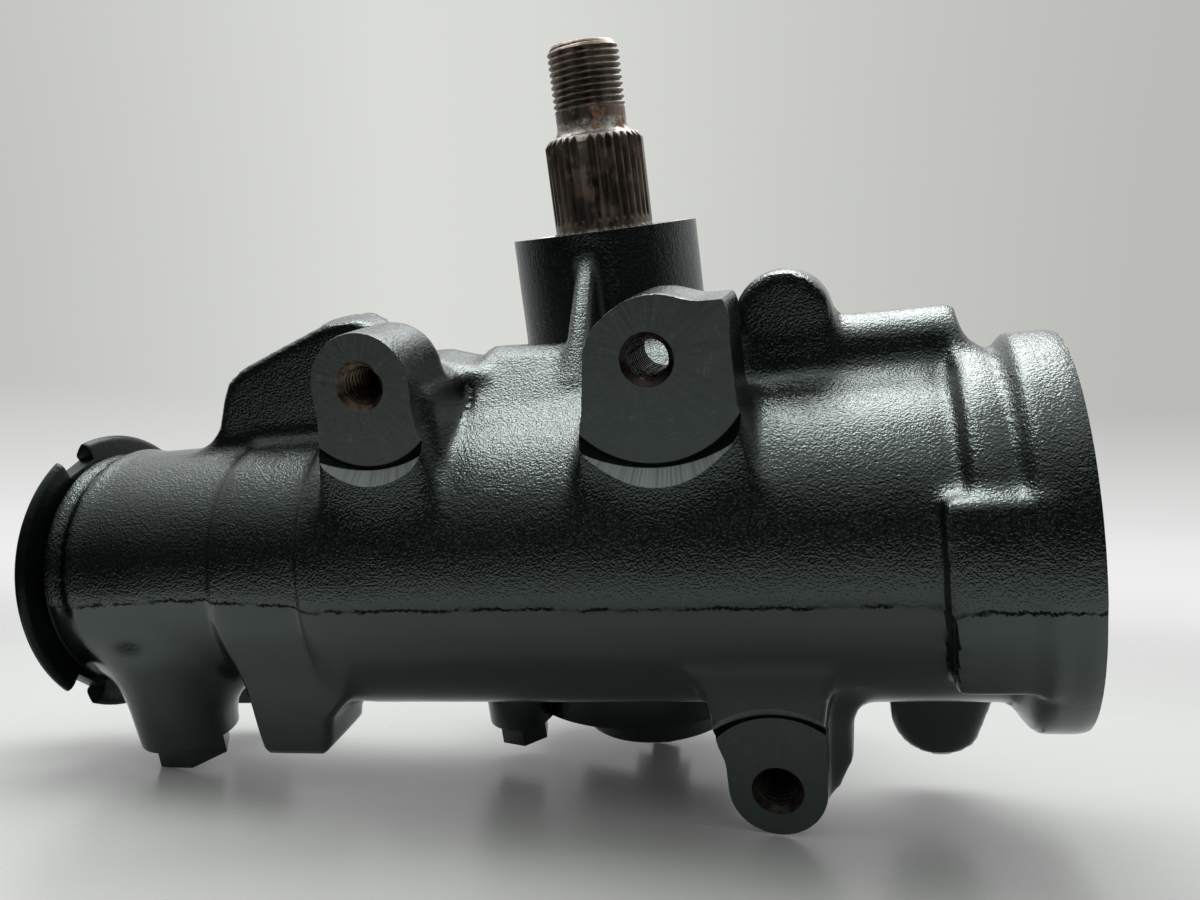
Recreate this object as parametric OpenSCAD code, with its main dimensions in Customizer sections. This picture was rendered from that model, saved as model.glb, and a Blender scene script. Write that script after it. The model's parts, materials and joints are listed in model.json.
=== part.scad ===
// Integral power steering gearbox: a worm drives a ball-nut piston whose rack turns the sector shaft.
// The worm axis runs along X, the sector axis along Z, and the mounting faces look along -Y.

/* [Piston and bore] */
// Radius of the piston bore in the housing
bore_r = 38.1; // [37.6:0.1:38.6]
// Wall round the piston bore
body_wall = 4.4; // [4:0.1:5]
// Running clearance of the piston in its bore
piston_gap = 0.1; // [0.06:0.01:0.1]
// Left end of the rack piston from the sector plane
piston_left = 45; // [43:0.5:46]
// Right end of the rack piston from the sector plane
piston_right = 74; // [72:0.5:76]
// Length of the full round head of the piston
piston_head = 27; // [24:0.5:28]
// Width of the piston seal ring
ring_w = 4; // [3:0.5:5]

/* [Sector and rack] */
// Pitch radius of the sector teeth
sector_pitch_r = 31; // [30.5:0.1:31.5]
// Height of the rack pitch line above the worm axis
rack_pitch_y = 26; // [25.5:0.1:26.5]
// Teeth that a full round of the sector would have
sector_round = 9; // [9:1:9]
// Pressure angle of the teeth
pressure_angle = 25; // [24:0.5:26]
// Play between the teeth of the rack and sector
backlash = 0.5; // [0.4:0.05:0.6]
// Height of the sector teeth above the pitch circle
sector_addendum = 6; // [5.5:0.1:6.2]
// Height of the rack teeth above the pitch line
rack_addendum = 5.5; // [5:0.1:5.6]
// Room between tooth tips and roots
tip_room = 1; // [0.8:0.1:1.3]
// Face width of the sector
sector_face = 36; // [34:0.5:37]
// Radius of the sector shaft journals
journal_r = 15.9; // [15.7:0.05:16.1]
// Radial running clearance of a journal
journal_gap = 0.05; // [0.03:0.01:0.08]

/* [Output end] */
// Top of the sector boss above the worm axis
boss_top = 86; // [84:0.5:88]
// Outer radius of the sector boss
boss_r = 28.4; // [27.5:0.1:29.5]
// Length of the splined taper
spline_len = 27.5; // [25:0.5:29]
// Radius over the spline at its small end
spline_tip_r = 15.25; // [15:0.05:15.5]
// Number of spline places round the shaft
spline_places = 36; // [36:4:36]
// Depth of a spline groove
spline_depth = 1.25; // [1:0.05:1.5]
// Radius of the threaded end
thread_r = 11.1; // [10.8:0.05:11.4]
// Length of the threaded end
thread_len = 19; // [17:0.5:21]
// Length of the relief between spline and thread
relief_len = 8.5; // [7:0.5:10]

/* [Worm and balls] */
// Travel of the ball nut in one turn of the worm
worm_lead = 13.9; // [13.5:0.1:14.3]
// Diameter of a ball
ball_d = 7.14; // [7:0.02:7.2]
// Radius of the circle that the ball centres follow
ball_circle_r = 13.5; // [13.3:0.1:13.7]
// Clearance of a ball in its track
ball_gap = 0.3; // [0.25:0.01:0.35]
// Number of balls in the circuit
ball_count = 24; // [20:1:26]
// Outer radius of the worm
worm_r = 12; // [11.8:0.1:12.2]
// Half length of the grooved stretch of the worm
groove_half = 41; // [40:0.5:42]

/* [Valve] */
// Radius of the valve bore in the housing
valve_bore_r = 25.5; // [25:0.1:26]
// Radius of the spool
spool_r = 19; // [18.5:0.1:19.5]
// Radius of the stub shaft journal
stub_r = 11; // [10.8:0.1:11.2]
// Radius of the torsion bar
torsion_r = 3; // [2.8:0.1:3.3]
// Running clearance between the valve parts
valve_gap = 0.05; // [0.03:0.01:0.08]
// Length of the valve sleeve
sleeve_len = 41; // [39:0.5:42]
// Serrated length of the stub shaft outside the adjuster
serration_len = 24; // [20:0.5:28]

/* [Adjuster] */
// Radius of the adjuster plug thread
adjuster_r = 29.5; // [29.2:0.1:30]
// Outer radius of the lock nut
lock_nut_r = 41; // [40:0.5:42]
// Width of a lock nut notch
lock_notch_w = 11; // [9:0.5:13]
// Number of lock nut lobes
lock_lobes = 3; // [3:1:3]
// Direction of a lock nut notch, from the mounting side upwards
lock_notch_at = 80; // [75:1:85]

/* [Housing places] */
// How far the housing reaches past the upper thrust bearing
bearing_reach = 14.8; // [14.4:0.1:17]
// Open end of the housing at the end plug
plug_end = 121; // [119:0.5:123]
// Radius of the end flange
flange_r = 49.4; // [48.5:0.1:50.5]
// Radius of the band beside the end flange
band_r = 46; // [45:0.1:47]
// Outer radius of the valve housing
valve_outer_r = 36.2; // [35.5:0.1:37]
// Outer radius of the shoulder between valve housing and body
shoulder_r = 38.4; // [37.5:0.1:39.5]
// Wall round the sector chamber
chamber_wall = 6; // [5:0.5:7]
// Room round the swinging sector
chamber_room = 4; // [3:0.5:5]
// Side cover face below the worm axis
cover_face = 51.5; // [50:0.5:53]

/* [Mounting lugs] */
// Mounting plane in front of the worm axis
lug_face = 33; // [31:0.5:35]
// Thickness of a mounting lug
lug_thick = 23; // [21:0.5:25]
// Height of the upper holes above the worm axis
lug_high = 56.5; // [55:0.5:58]
// Depth of the lower hole below the worm axis
lug_low = 54.4; // [53:0.5:56]
// Upper input-side hole from the sector plane
lug_left_x = -45.6; // [-48:0.2:-43]
// Upper middle hole from the sector plane
lug_mid_x = 28; // [26:0.5:30]
// Lower hole from the sector plane
lug_low_x = 48.5; // [46:0.5:51]
// Core radius of a tapped hole
tap_r = 5.2; // [5:0.05:5.4]
// Radius of the countersink at a tapped hole
tap_sink_r = 6.5; // [6.2:0.1:6.8]

/* [Side cover] */
// Thickness of the cover plate
cover_thick = 10; // [9:0.5:11]
// Thickness of the cover gasket
gasket_thick = 0.5; // [0.4:0.1:0.8]
// Radius of the circle of cover bolts
bolt_circle_r = 53; // [52:0.5:55]
// Radius of a cover bolt
bolt_r = 4.7; // [4.5:0.1:5]
// Depth of the dome on the cover
dome_depth = 16; // [14:0.5:18]
// Radius of the dome at its foot
dome_r = 30; // [29:0.5:31]
// Radius of the lash adjuster screw
lash_r = 5; // [4.8:0.1:5.4]

/* [Ports] */
// Port axis from the open input end
port_back = 24; // [22:0.5:26]
// Ports to either side of the worm axis
port_y = 20; // [19:0.5:21]
// Port face below the worm axis
port_face = 46; // [45:0.5:48]
// Radius of a port boss
port_boss_r = 14; // [13:0.5:15]
// Radius of a port thread
port_r = 7.9; // [7.6:0.1:8.2]

/* [Hidden] */
$fn = 72;
// Overlap that joins or clears faces in one piece
bite = 1;
// Clearance of a piece that is pushed or screwed into place
seat_gap = 0.05;
// Gap between flat faces that turn against each other
face_gap = 0.1;

// Rack and sector
axis_y = sector_pitch_r + rack_pitch_y;
tooth_pitch = 2 * PI * sector_pitch_r / sector_round;
sector_tip_r = sector_pitch_r + sector_addendum;
sector_root_r = sector_pitch_r - rack_addendum - tip_room;
base_r = sector_pitch_r * cos(pressure_angle);
rack_tip_y = rack_pitch_y + rack_addendum;
rack_root_y = rack_pitch_y - sector_addendum - tip_room;
piston_r = bore_r - piston_gap;
sector_half = sector_face / 2;

// Housing
body_r = bore_r + body_wall;
body_left = piston_left + 25;
band_x = plug_end - 24;
flange_x = plug_end - 11;
neck_x = plug_end - 16.5;
pad_x = plug_end - 30;
plug_seat_r = bore_r + 2.5;
plug_seat_x = plug_end - 17;
ring_groove_x = plug_end - 4.5;
chamber_r = sector_tip_r + chamber_room;
chamber_top = sector_half + 6;
chamber_outer_r = chamber_r + chamber_wall;
chamber_roof = chamber_top + 14;
shoulder_face = -(body_left + 10);
shoulder_left = -(body_left + 29.5);
adjuster_depth = 10;
adjuster_out = 11;
bolt_hole_depth = 13;
ear_tall = 22;
facing_stock = 2;
port_depth = 16;
port_draft = 3.2;
rib_top = 56.5;
rib_w = 14;
swell_r = 14.5;
swell_round = 5;
swell_x = -66;
swell_y = 12;
swell_z = 45.5;
swell_len = 114;
swell_fall = 2.6;
upper_stock = 4.5;
boss_seat_r = journal_r + 3.1;
seal_seat_r = boss_seat_r + 2.5;
seal_floor = boss_top - 24;
bearing_top = seal_floor - 3;
bearing_floor = bearing_top - 30;
web_back = 10;

// Axial stack of the input side, from the housing shoulder outwards
thrust_w = 5;
thrust_r = 23;
worm_head_x = shoulder_face - thrust_w - face_gap;
worm_head_w = 8;
worm_hole_r = worm_r + 3;
sleeve_right = worm_head_x - worm_head_w;
sleeve_left = sleeve_right - sleeve_len;
upper_right = sleeve_left - face_gap;
upper_left = upper_right - thrust_w;
input_end = bearing_reach - upper_left;
port_x = port_back - input_end;
adjuster_right = upper_left;
adjuster_left = -(input_end + adjuster_out);
web_left = port_x + 9;
bearing_in = 12;
seal_in = 9;
sleeve_r = valve_bore_r - valve_gap;
stub_bearing_r = stub_r + 3;
stub_seal_r = stub_r + 5.5;
stub_left = adjuster_left - serration_len;

// Worm and nut
worm_end = groove_half + 3;
nut_bore_r = ball_circle_r + ball_d / 2 + 0.2;
rack_plug_w = 6;
rack_plug_r = nut_bore_r + 2;
groove_r = ball_d / 2 + ball_gap;
guide_floor = bore_r - 16;

// Shaft end
spline_foot = boss_top + 0.5;
spline_top = spline_foot + spline_len;
thread_foot = spline_top + relief_len;
shaft_top = thread_foot + thread_len;
neck_r = thread_r - 0.4;
shoulder_top_r = spline_tip_r - 1.5;
// Direction of a wide master tooth, which faces the mounting side
master_at = -90;

// Cover
cover_top = -cover_face - gasket_thick;
cover_bottom = cover_top - cover_thick;
dome_bottom = cover_bottom - dome_depth;
hub_top = -sector_half - 4;
hub_r = journal_r + 8;
bushing_r = journal_r + 2.6;
shaft_foot = cover_bottom + 2;
cover_r = chamber_outer_r;
ear_r = bolt_r + 5.8;
lash_nut_h = 8;
lash_end = dome_bottom - lash_nut_h - 4.5;
lash_head_r = lash_r + 2.6;
lash_head_h = 4;

// Frame: the origin is where the thread of the middle mounting hole starts, under its countersink
mouth = [lug_mid_x, tap_sink_r - tap_r - lug_face, lug_high];
paint = [0.06, 0.065, 0.07];
iron = [0.25, 0.25, 0.26];
steel = [0.55, 0.55, 0.56];
bronze = [0.62, 0.48, 0.25];
rubber = [0.05, 0.05, 0.05];

module rod_x(r, x0, x1) {
    translate([x0, 0, 0]) rotate([0, 90, 0]) cylinder(r = r, h = x1 - x0);
}
module ring_x(outer, inner, x0, x1) {
    difference() {
        rod_x(outer, x0, x1);
        rod_x(inner, x0 - bite, x1 + bite);
    }
}
module rod_y(r, y0, y1) {
    translate([0, y1, 0]) rotate([90, 0, 0]) cylinder(r = r, h = y1 - y0);
}
module rod_z(r, z0, z1) {
    translate([0, 0, z0]) cylinder(r = r, h = z1 - z0);
}
module ring_z(outer, inner, z0, z1) {
    difference() {
        rod_z(outer, z0, z1);
        rod_z(inner, z0 - bite, z1 + bite);
    }
}
module cone_z(r0, r1, z0, z1) {
    translate([0, 0, z0]) cylinder(r1 = r0, r2 = r1, h = z1 - z0);
}
// Outline in X and Z, extruded along Y
module plate_y(y0, y1) {
    translate([0, y1, 0]) rotate([90, 0, 0]) linear_extrude(y1 - y0) children();
}
// Outline in Y and Z, extruded along X
module plate_x(x0, x1) {
    translate([x0, 0, 0]) rotate([90, 0, 90]) linear_extrude(x1 - x0) children();
}
module on_sector() {
    translate([0, axis_y, 0]) children();
}
module on_ports() {
    for (side = [-1, 1]) translate([port_x, side * port_y, 0]) children();
}
module on_cover_bolts() {
    on_sector() for (turn = [45:90:315]) rotate([0, 0, turn]) translate([bolt_circle_r, 0, 0]) children();
}
module oring_x(inner, thick, x) {
    translate([x, 0, 0]) rotate([0, 90, 0]) rotate_extrude() translate([inner + thick / 2, 0])
        circle(d = thick, $fn = 24);
}
// Rollers lying on a circle about X, parallel to it
module needles_x(circle_r, r, count, x0, x1) {
    for (i = [0:count - 1]) rotate([i * 360 / count, 0, 0]) translate([0, circle_r, 0]) rod_x(r, x0, x1);
}
// Rollers lying flat between two races, like spokes
module thrust_rollers(r_in, r_out, r, count, x) {
    for (i = [0:count - 1]) rotate([i * 360 / count, 0, 0]) translate([x, 0, 0]) rod_y(r, r_in, r_out);
}

// Involute tooth: half of the angle that the tooth fills at a radius
function involute(a) = tan(a) * 180 / PI - a;
function half_tooth(r) = (tooth_pitch - backlash) / 4 / sector_pitch_r * 180 / PI
    + involute(pressure_angle) - involute(acos(base_r / max(r, base_r)));
flank_steps = 7;
function flank_r(i) = base_r + (sector_tip_r - base_r) * i / flank_steps;
function flank(side) = [for (i = [0:flank_steps]) let (r = flank_r(i), a = half_tooth(r))
    [side * r * sin(a), -r * cos(a)]];
function tooth_foot(side) = let (a = half_tooth(base_r), r = sector_root_r - bite)
    [[side * r * sin(a), -r * cos(a)]];
function reversed(list) = [for (i = [len(list) - 1:-1:0]) list[i]];

module sector_outline() {
    circle(r = sector_root_r);
    for (turn = [-1:1]) rotate(turn * 360 / sector_round)
        polygon(concat(tooth_foot(-1), flank(-1), reversed(flank(1)), tooth_foot(1)));
}
function gap_half(y) = tooth_pitch / 4 + backlash / 4 + (y - rack_pitch_y) * tan(pressure_angle);
module rack_gap() {
    top = rack_tip_y + bite;
    polygon([[-gap_half(rack_root_y), rack_root_y], [gap_half(rack_root_y), rack_root_y],
        [gap_half(top), top], [-gap_half(top), top]]);
}

// Tube along a helix about X, for the ball track
track_sides = 10;
track_steps = 20;
function track_point(turn, side) = let (a = turn * 360, b = side * 360 / track_sides,
        tilt = atan(worm_lead / (2 * PI * ball_circle_r)), rad = ball_circle_r + groove_r * cos(b),
        across = groove_r * sin(b))
    [worm_lead * turn + across * cos(tilt),
        rad * cos(a) + across * sin(tilt) * sin(a), rad * sin(a) - across * sin(tilt) * cos(a)];
module ball_track(turns) {
    rings = round(turns * track_steps);
    points = [for (k = [0:rings], s = [0:track_sides - 1]) track_point(turns * (k / rings - 0.5), s)];
    sides = [for (k = [0:rings - 1], s = [0:track_sides - 1]) let (n = (s + 1) % track_sides)
        [k * track_sides + s, k * track_sides + n, (k + 1) * track_sides + n, (k + 1) * track_sides + s]];
    polyhedron(points, concat(sides, [[for (s = [track_sides - 1:-1:0]) s]],
        [[for (s = [0:track_sides - 1]) rings * track_sides + s]]));
}

// Mounting lugs
module lug_plate(x, z, spare) {
    plate_y(-lug_face - spare, -lug_face + lug_thick) translate([x, z]) children();
}
module lug_left() {
    lug_plate(lug_left_x, lug_high, upper_stock) {
        circle(r = 13);
        polygon([[-13, 0], [-13, -7], [-15, -27], [-17.5, -44], [17.5, -44], [14, -27], [12.6, -7], [13, 0]]);
    }
}
module lug_mid() {
    lug_plate(lug_mid_x, lug_high, upper_stock) {
        circle(r = 15);
        polygon([[-15, 2], [-18, -18], [-20, -28], [-23.5, -44], [26.5, -44], [22, -28], [19.6, -18], [19.2, 12],
            [0, 12]]);
    }
}
module lug_bottom() {
    lug_plate(lug_low_x, -lug_low, 2) {
        circle(r = 12.2);
        polygon([[-12.2, 0], [-12.2, 8], [-14.2, 13], [-15.5, 34], [14.5, 34], [13, 18], [12.2, 8], [12.2, 0]]);
    }
    // Gusset beside the lower lug
    plate_y(-27, -11) translate([lug_low_x, -lug_low])
        polygon([[6, -7], [6, 34], [28, 34], [21, 22], [19.4, 14], [18.8, 4], [15, -3]]);
}
// Flat spot face with a bevelled edge, cut round a mounting hole
module spot_face(x, z, r) {
    translate([x, -lug_face, z]) {
        rod_y(r, -30, 0);
        rotate([90, 0, 0]) cylinder(r1 = r, r2 = r + 9, h = 9);
    }
}
module tapped_hole(x, z) {
    translate([x, -lug_face, z]) {
        rod_y(tap_r, -bite, lug_thick + bite);
        rotate([-90, 0, 0]) cylinder(r1 = tap_sink_r, r2 = tap_r, h = tap_sink_r - tap_r);
    }
}

// Cast outside of the housing
module casting() {
    rod_x(body_r, -body_left, flange_x);
    // Band of the upper mould half, and the neck of the end flange
    intersection() {
        rod_x(band_r, band_x, flange_x);
        translate([band_x - bite, -band_r - bite, 0]) cube([flange_x, 2 * (band_r + bite), band_r + bite]);
    }
    translate([neck_x, 0, 0]) rotate([0, 90, 0]) cylinder(r1 = body_r, r2 = flange_r, h = flange_x - neck_x);
    rod_x(flange_r, flange_x, plug_end);
    intersection() {
        rod_x(flange_r, pad_x, flange_x + bite);
        translate([pad_x - bite, -flange_r - bite, -23.2]) cube([40, 30, 45]);
    }
    rod_x(shoulder_r, shoulder_left, -body_left + bite);
    rod_x(valve_outer_r, -input_end, shoulder_left + bite);
    on_sector() {
        rod_z(chamber_outer_r, -cover_face - facing_stock, chamber_roof);
        cone_z(chamber_outer_r, boss_r, chamber_roof, chamber_roof + 10);
        rod_z(boss_r, chamber_top, boss_top);
    }
    on_cover_bolts() rod_z(ear_r, -cover_face - facing_stock / 2, -cover_face + ear_tall);
    // Filler between the body and the sector chamber
    translate([-chamber_outer_r * 0.8, 0, -body_r * 0.8]) cube([chamber_outer_r * 1.6, axis_y, body_r * 1.6]);
    // Oil gallery along the top: a round swell on the input side, a square rib on the plug side
    translate([swell_x, swell_y, swell_z]) rotate([0, 90 + swell_fall, 0]) {
        cylinder(r1 = swell_r - swell_round, r2 = swell_r, h = swell_round);
        rod_z(swell_r, swell_round, swell_len);
    }
    plate_x(lug_mid_x + 10, plug_end - 22.5) {
        translate([0, 30]) square([rib_w, rib_top - 30 - rib_w / 2]);
        translate([rib_w / 2, rib_top - rib_w / 2]) circle(r = rib_w / 2);
    }
    // Ear beside the gallery
    plate_y(0, rib_w) translate([57, 58.5]) {
        circle(r = 12.2);
        translate([-12.2, -28]) square([24.4, 28]);
    }
    // Web behind the input-side lug
    plate_y(-4, web_back) polygon([[web_left, 20], [web_left, 34], [-109, 43], [-104, 55], [-97, 61], [-64, 71.4],
        [-55, 71.4], [-45, 62], [-45, 20]]);
    // Web between the middle lug and the boss
    plate_x(-3, 3) polygon([[-lug_face + lug_thick - bite, 30], [-lug_face + lug_thick + 20, 58],
        [axis_y - boss_r - 1, 79], [axis_y - boss_r + 4, 79], [axis_y - boss_r + 4, 30]]);
    lug_left();
    lug_mid();
    lug_bottom();
    // Undrilled lug beside the ports
    plate_y(-36, -12) polygon([[-96, -8], [-94, -45], [-74, -45], [-70, -34], [-64, -28], [-64, -8]]);
    // Rear lug under the end plug
    plate_y(14, 34) {
        translate([90, -60]) circle(r = 13);
        polygon([[77, -20], [77, -60], [96, -71.5], [106, -48], [106, -20]]);
    }
    on_ports() cone_z(port_boss_r, port_boss_r + port_draft, -port_face, -8);
}
// Everything that is bored, turned or drilled in the housing
module machining() {
    rod_x(bore_r, -body_left, plug_end + bite);
    rod_x(plug_seat_r, plug_seat_x, plug_end + bite);
    rod_x(plug_seat_r + 1.8, ring_groove_x, ring_groove_x + 2.2);
    rod_x(worm_hole_r, shoulder_face - bite, -body_left + bite);
    rod_x(valve_bore_r, -input_end - bite, shoulder_face);
    rod_x(adjuster_r, -input_end - bite, -input_end + adjuster_depth);
    on_sector() {
        rod_z(bolt_circle_r + ear_r + bite, -cover_face - facing_stock * 2, -cover_face);
        rod_z(chamber_r, -cover_face - bite, chamber_top);
        rod_z(journal_r + 0.6, chamber_top - bite, boss_top + bite);
        rod_z(boss_seat_r, bearing_floor, bearing_top);
        rod_z(seal_seat_r, bearing_top, boss_top + bite);
        rod_z(seal_seat_r + 1.5, boss_top - 5, boss_top - 3);
    }
    on_cover_bolts() rod_z(bolt_r, -cover_face - bite, -cover_face + bolt_hole_depth);
    on_ports() {
        rod_z(port_r, -port_face - bite, -port_face + port_depth);
        rod_z(4, -port_face, -6);
    }
    spot_face(lug_left_x, lug_high, 21.5);
    spot_face(lug_mid_x, lug_high, 25.5);
    spot_face(lug_low_x, -lug_low, 21);
    tapped_hole(lug_left_x, lug_high);
    tapped_hole(lug_mid_x, lug_high);
    tapped_hole(lug_low_x, -lug_low);
}
module housing() {
    color(paint) difference() {
        casting();
        machining();
    }
}

// End plug and its seal
plug_w = ring_groove_x - plug_seat_x - face_gap;
oring_thick = 3.2;
module end_plug() {
    color(paint) difference() {
        rod_x(plug_seat_r - seat_gap, plug_seat_x + face_gap, plug_seat_x + face_gap + plug_w);
        ring_x(plug_seat_r + bite, plug_seat_r - oring_thick - 0.1, plug_seat_x + 4, plug_seat_x + 7.6);
        rod_x(12, plug_seat_x + plug_w - 4, plug_seat_x + plug_w + bite);
    }
}
module end_plug_oring() {
    color(rubber) oring_x(plug_seat_r - oring_thick - 0.05, oring_thick, plug_seat_x + 5.8);
}
module end_plug_ring() {
    color(steel) difference() {
        ring_x(plug_seat_r + 1.7, plug_seat_r - 2, ring_groove_x + 0.1, ring_groove_x + 2.1);
        translate([ring_groove_x - bite, -3, 0]) cube([5, 6, plug_seat_r + 10]);
    }
}

// Adjuster at the input end
module adjuster_plug() {
    color(iron) difference() {
        union() {
            rod_x(adjuster_r - seat_gap, adjuster_left, -input_end + adjuster_depth - face_gap);
            rod_x(valve_bore_r - 0.3, -input_end, adjuster_right);
        }
        rod_x(stub_r + 0.5, adjuster_left - bite, adjuster_right + bite);
        rod_x(stub_bearing_r + seat_gap, adjuster_left + bearing_in, adjuster_right + bite);
        rod_x(stub_seal_r, adjuster_left - bite, adjuster_left + seal_in);
        rod_x(stub_seal_r + 1, adjuster_left + 1.2, adjuster_left + 2.6);
        ring_x(valve_bore_r + bite, valve_bore_r - 2.5, adjuster_right - 4, adjuster_right - 1);
        for (turn = [0:90:270]) rotate([turn, 0, 0]) translate([0, 23, 0])
            rod_x(3, adjuster_left - bite, adjuster_left + 8);
    }
}
module adjuster_oring() {
    color(rubber) oring_x(valve_bore_r - 2.45, 2.4, adjuster_right - 2.5);
}
nut_face = input_end + face_gap;
module adjuster_lock_nut() {
    color(paint) difference() {
        translate([-nut_face, 0, 0]) rotate([0, -90, 0]) rotate_extrude() polygon([[adjuster_r + seat_gap, 0],
            [34.5, 0], [34.8, 1.2], [lock_nut_r - 0.6, 3.6], [lock_nut_r, 4.2], [lock_nut_r, 8.2],
            [lock_nut_r - 2.5, 8.6], [34.5, 5.6], [33.5, 7], [adjuster_r + seat_gap, 7]]);
        for (i = [0:lock_lobes - 1]) rotate([-lock_notch_at - i * 360 / lock_lobes, 0, 0])
            translate([-nut_face - 12, -lock_nut_r - bite, -lock_notch_w / 2])
                cube([16, lock_nut_r - 34.5, lock_notch_w]);
    }
}
needle_r = 1.1;
module input_bearing() {
    color(steel) {
        ring_x(stub_bearing_r, stub_bearing_r - 0.7, adjuster_left + bearing_in + 0.2, adjuster_right - 1);
        needles_x(stub_r + seat_gap + needle_r, needle_r, 20, adjuster_left + bearing_in + 1.5, adjuster_right - 2);
    }
}
module input_seal() {
    color(rubber) ring_x(stub_seal_r - seat_gap, stub_r + valve_gap, adjuster_left + 3, adjuster_left + seal_in - 0.2);
}
module input_seal_ring() {
    color(steel) difference() {
        ring_x(stub_seal_r + 0.9, stub_r + 2.5, adjuster_left + 1.3, adjuster_left + 2.5);
        translate([adjuster_left, -2, 0]) cube([5, 4, stub_seal_r + 5]);
    }
}

// Thrust bearings on either side of the worm and valve
race_w = 1.2;
roller_r = (thrust_w - 2 * race_w - 2 * face_gap) / 2;
module thrust_bearing(x0, r_in, r_out) {
    ring_x(r_out, r_in, x0, x0 + race_w);
    ring_x(r_out, r_in, x0 + thrust_w - race_w, x0 + thrust_w);
    thrust_rollers(r_in + 1.2, r_out - 1.2, roller_r, 16, x0 + thrust_w / 2);
}
module upper_thrust_bearing() {
    color(steel) thrust_bearing(upper_left, stub_bearing_r + 1.5, thrust_r);
}
module lower_thrust_bearing() {
    color(steel) thrust_bearing(shoulder_face - thrust_w, worm_hole_r, thrust_r);
}

// Rotary valve
spool_right = sleeve_right - 3;
spool_left = sleeve_left + 4;
serrations = 36;
module stub_shaft() {
    color(steel) difference() {
        union() {
            rod_x(stub_r, adjuster_left - 4, spool_left);
            rod_x(stub_r - 2, spool_left - bite, spool_right);
            rod_x(stub_r - 0.8, stub_left + 3, adjuster_left - 3);
            plate_x(stub_left + 1, adjuster_left - 6) polygon([for (i = [0:2 * serrations - 1])
                let (r = i % 2 == 0 ? stub_r - 0.9 : stub_r - 0.1, a = i * 180 / serrations) r * [cos(a), sin(a)]]);
            rod_x(stub_r - 1.8, stub_left, stub_left + 3);
        }
        rod_x(torsion_r + 0.6, stub_left + 8, spool_right + bite);
        // Flat for the clamp bolt of the column coupling
        translate([stub_left + 6, stub_r - 2.5, -stub_r]) cube([9, 5, 2 * stub_r]);
    }
}
module torsion_bar() {
    color(steel) {
        rod_x(torsion_r, stub_left + 14, worm_head_x - 2);
        rod_x(torsion_r + 0.6 - seat_gap, stub_left + 8.1, stub_left + 16);
    }
}
module valve_spool() {
    color(steel) difference() {
        ring_x(spool_r, stub_r - 2 + seat_gap, spool_left, spool_right);
        for (turn = [0:60:300]) rotate([turn, 0, 0]) translate([spool_left + 6, spool_r - 1.5, -2])
            cube([spool_right - spool_left - 12, 5, 4]);
    }
}
ring_rows = 4;
land = sleeve_len / (2 * ring_rows + 1);
module valve_sleeve() {
    color(steel) difference() {
        ring_x(sleeve_r, spool_r + valve_gap, sleeve_left, sleeve_right);
        for (i = [0:ring_rows - 1]) ring_x(sleeve_r + bite, sleeve_r - 2, sleeve_left + (2 * i + 0.75) * land,
            sleeve_left + (2 * i + 1.25) * land);
        for (i = [0:ring_rows - 2]) ring_x(sleeve_r + bite, sleeve_r - 2.5, sleeve_left + (2 * i + 1.6) * land,
            sleeve_left + (2 * i + 2.4) * land);
    }
}
module valve_rings() {
    color(rubber) for (i = [0:ring_rows - 1]) ring_x(sleeve_r, sleeve_r - 1.9,
        sleeve_left + (2 * i + 0.78) * land, sleeve_left + (2 * i + 1.22) * land);
}

// Worm, balls and rack piston
module worm() {
    color(steel) difference() {
        union() {
            rod_x(worm_r, worm_head_x - bite, worm_end);
            rod_x(thrust_r - 0.5, sleeve_right, worm_head_x);
        }
        ball_track((2 * groove_half) / worm_lead);
        rod_x(torsion_r + 0.1, sleeve_right - bite, worm_head_x - 1.5);
    }
}
module balls() {
    step = (ball_d + 0.25) / (2 * PI * ball_circle_r);
    color(steel) for (i = [0:ball_count - 1]) {
        turn = (i - (ball_count - 1) / 2) * step;
        translate([worm_lead * turn, ball_circle_r * cos(turn * 360), ball_circle_r * sin(turn * 360)])
            sphere(d = ball_d);
    }
}
module guide_pocket(room) {
    translate([-26 - room, -bore_r - bite, -13 - room]) cube([52 + 2 * room, bore_r + bite - guide_floor, 26 + 2 * room]);
}
module rack_piston() {
    color(steel) difference() {
        rod_x(piston_r, -piston_left, piston_right);
        rod_x(nut_bore_r, -piston_left - bite, piston_right - rack_plug_w);
        rod_x(rack_plug_r, piston_right - rack_plug_w, piston_right + bite);
        // Flat over the rack teeth
        translate([-piston_left - bite, rack_tip_y, -bore_r])
            cube([piston_left + piston_right - piston_head + bite, bore_r, 2 * bore_r]);
        for (i = [-1:1]) translate([i * tooth_pitch, 0, -bore_r]) linear_extrude(2 * bore_r) rack_gap();
        guide_pocket(0);
        ring_x(bore_r + bite, piston_r - 3.5, piston_right - 14, piston_right - 14 + ring_w);
    }
}
module piston_ring() {
    color(rubber) ring_x(piston_r + 0.04, piston_r - 3.4, piston_right - 13.9, piston_right - 14.1 + ring_w);
}
module rack_plug() {
    color(steel) difference() {
        rod_x(rack_plug_r - seat_gap, piston_right - rack_plug_w + face_gap, piston_right);
        translate([piston_right - 4, -5, -5]) cube([6, 10, 10]);
    }
}
guide_r = ball_d / 2 + 1.2;
guide_y = -guide_floor - guide_r - 0.1;
module ball_guides() {
    color(steel) for (side = [-1, 1]) translate([0, guide_y, side * 6.2]) difference() {
            union() {
                rod_x(guide_r, -20, 20);
                for (end = [-20, 20]) translate([end, 0, 0]) sphere(r = guide_r);
            }
            rod_x(ball_d / 2 + 0.1, -18, 18);
        }
}
clamp_y = guide_y - guide_r - 0.1;
module guide_clamp() {
    color(steel) difference() {
        translate([-9, clamp_y - 2, -12.5]) cube([18, 2, 25]);
        for (side = [-1, 1]) translate([side * 5, clamp_y, 0]) rod_y(1.9, -4, bite);
    }
}
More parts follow.
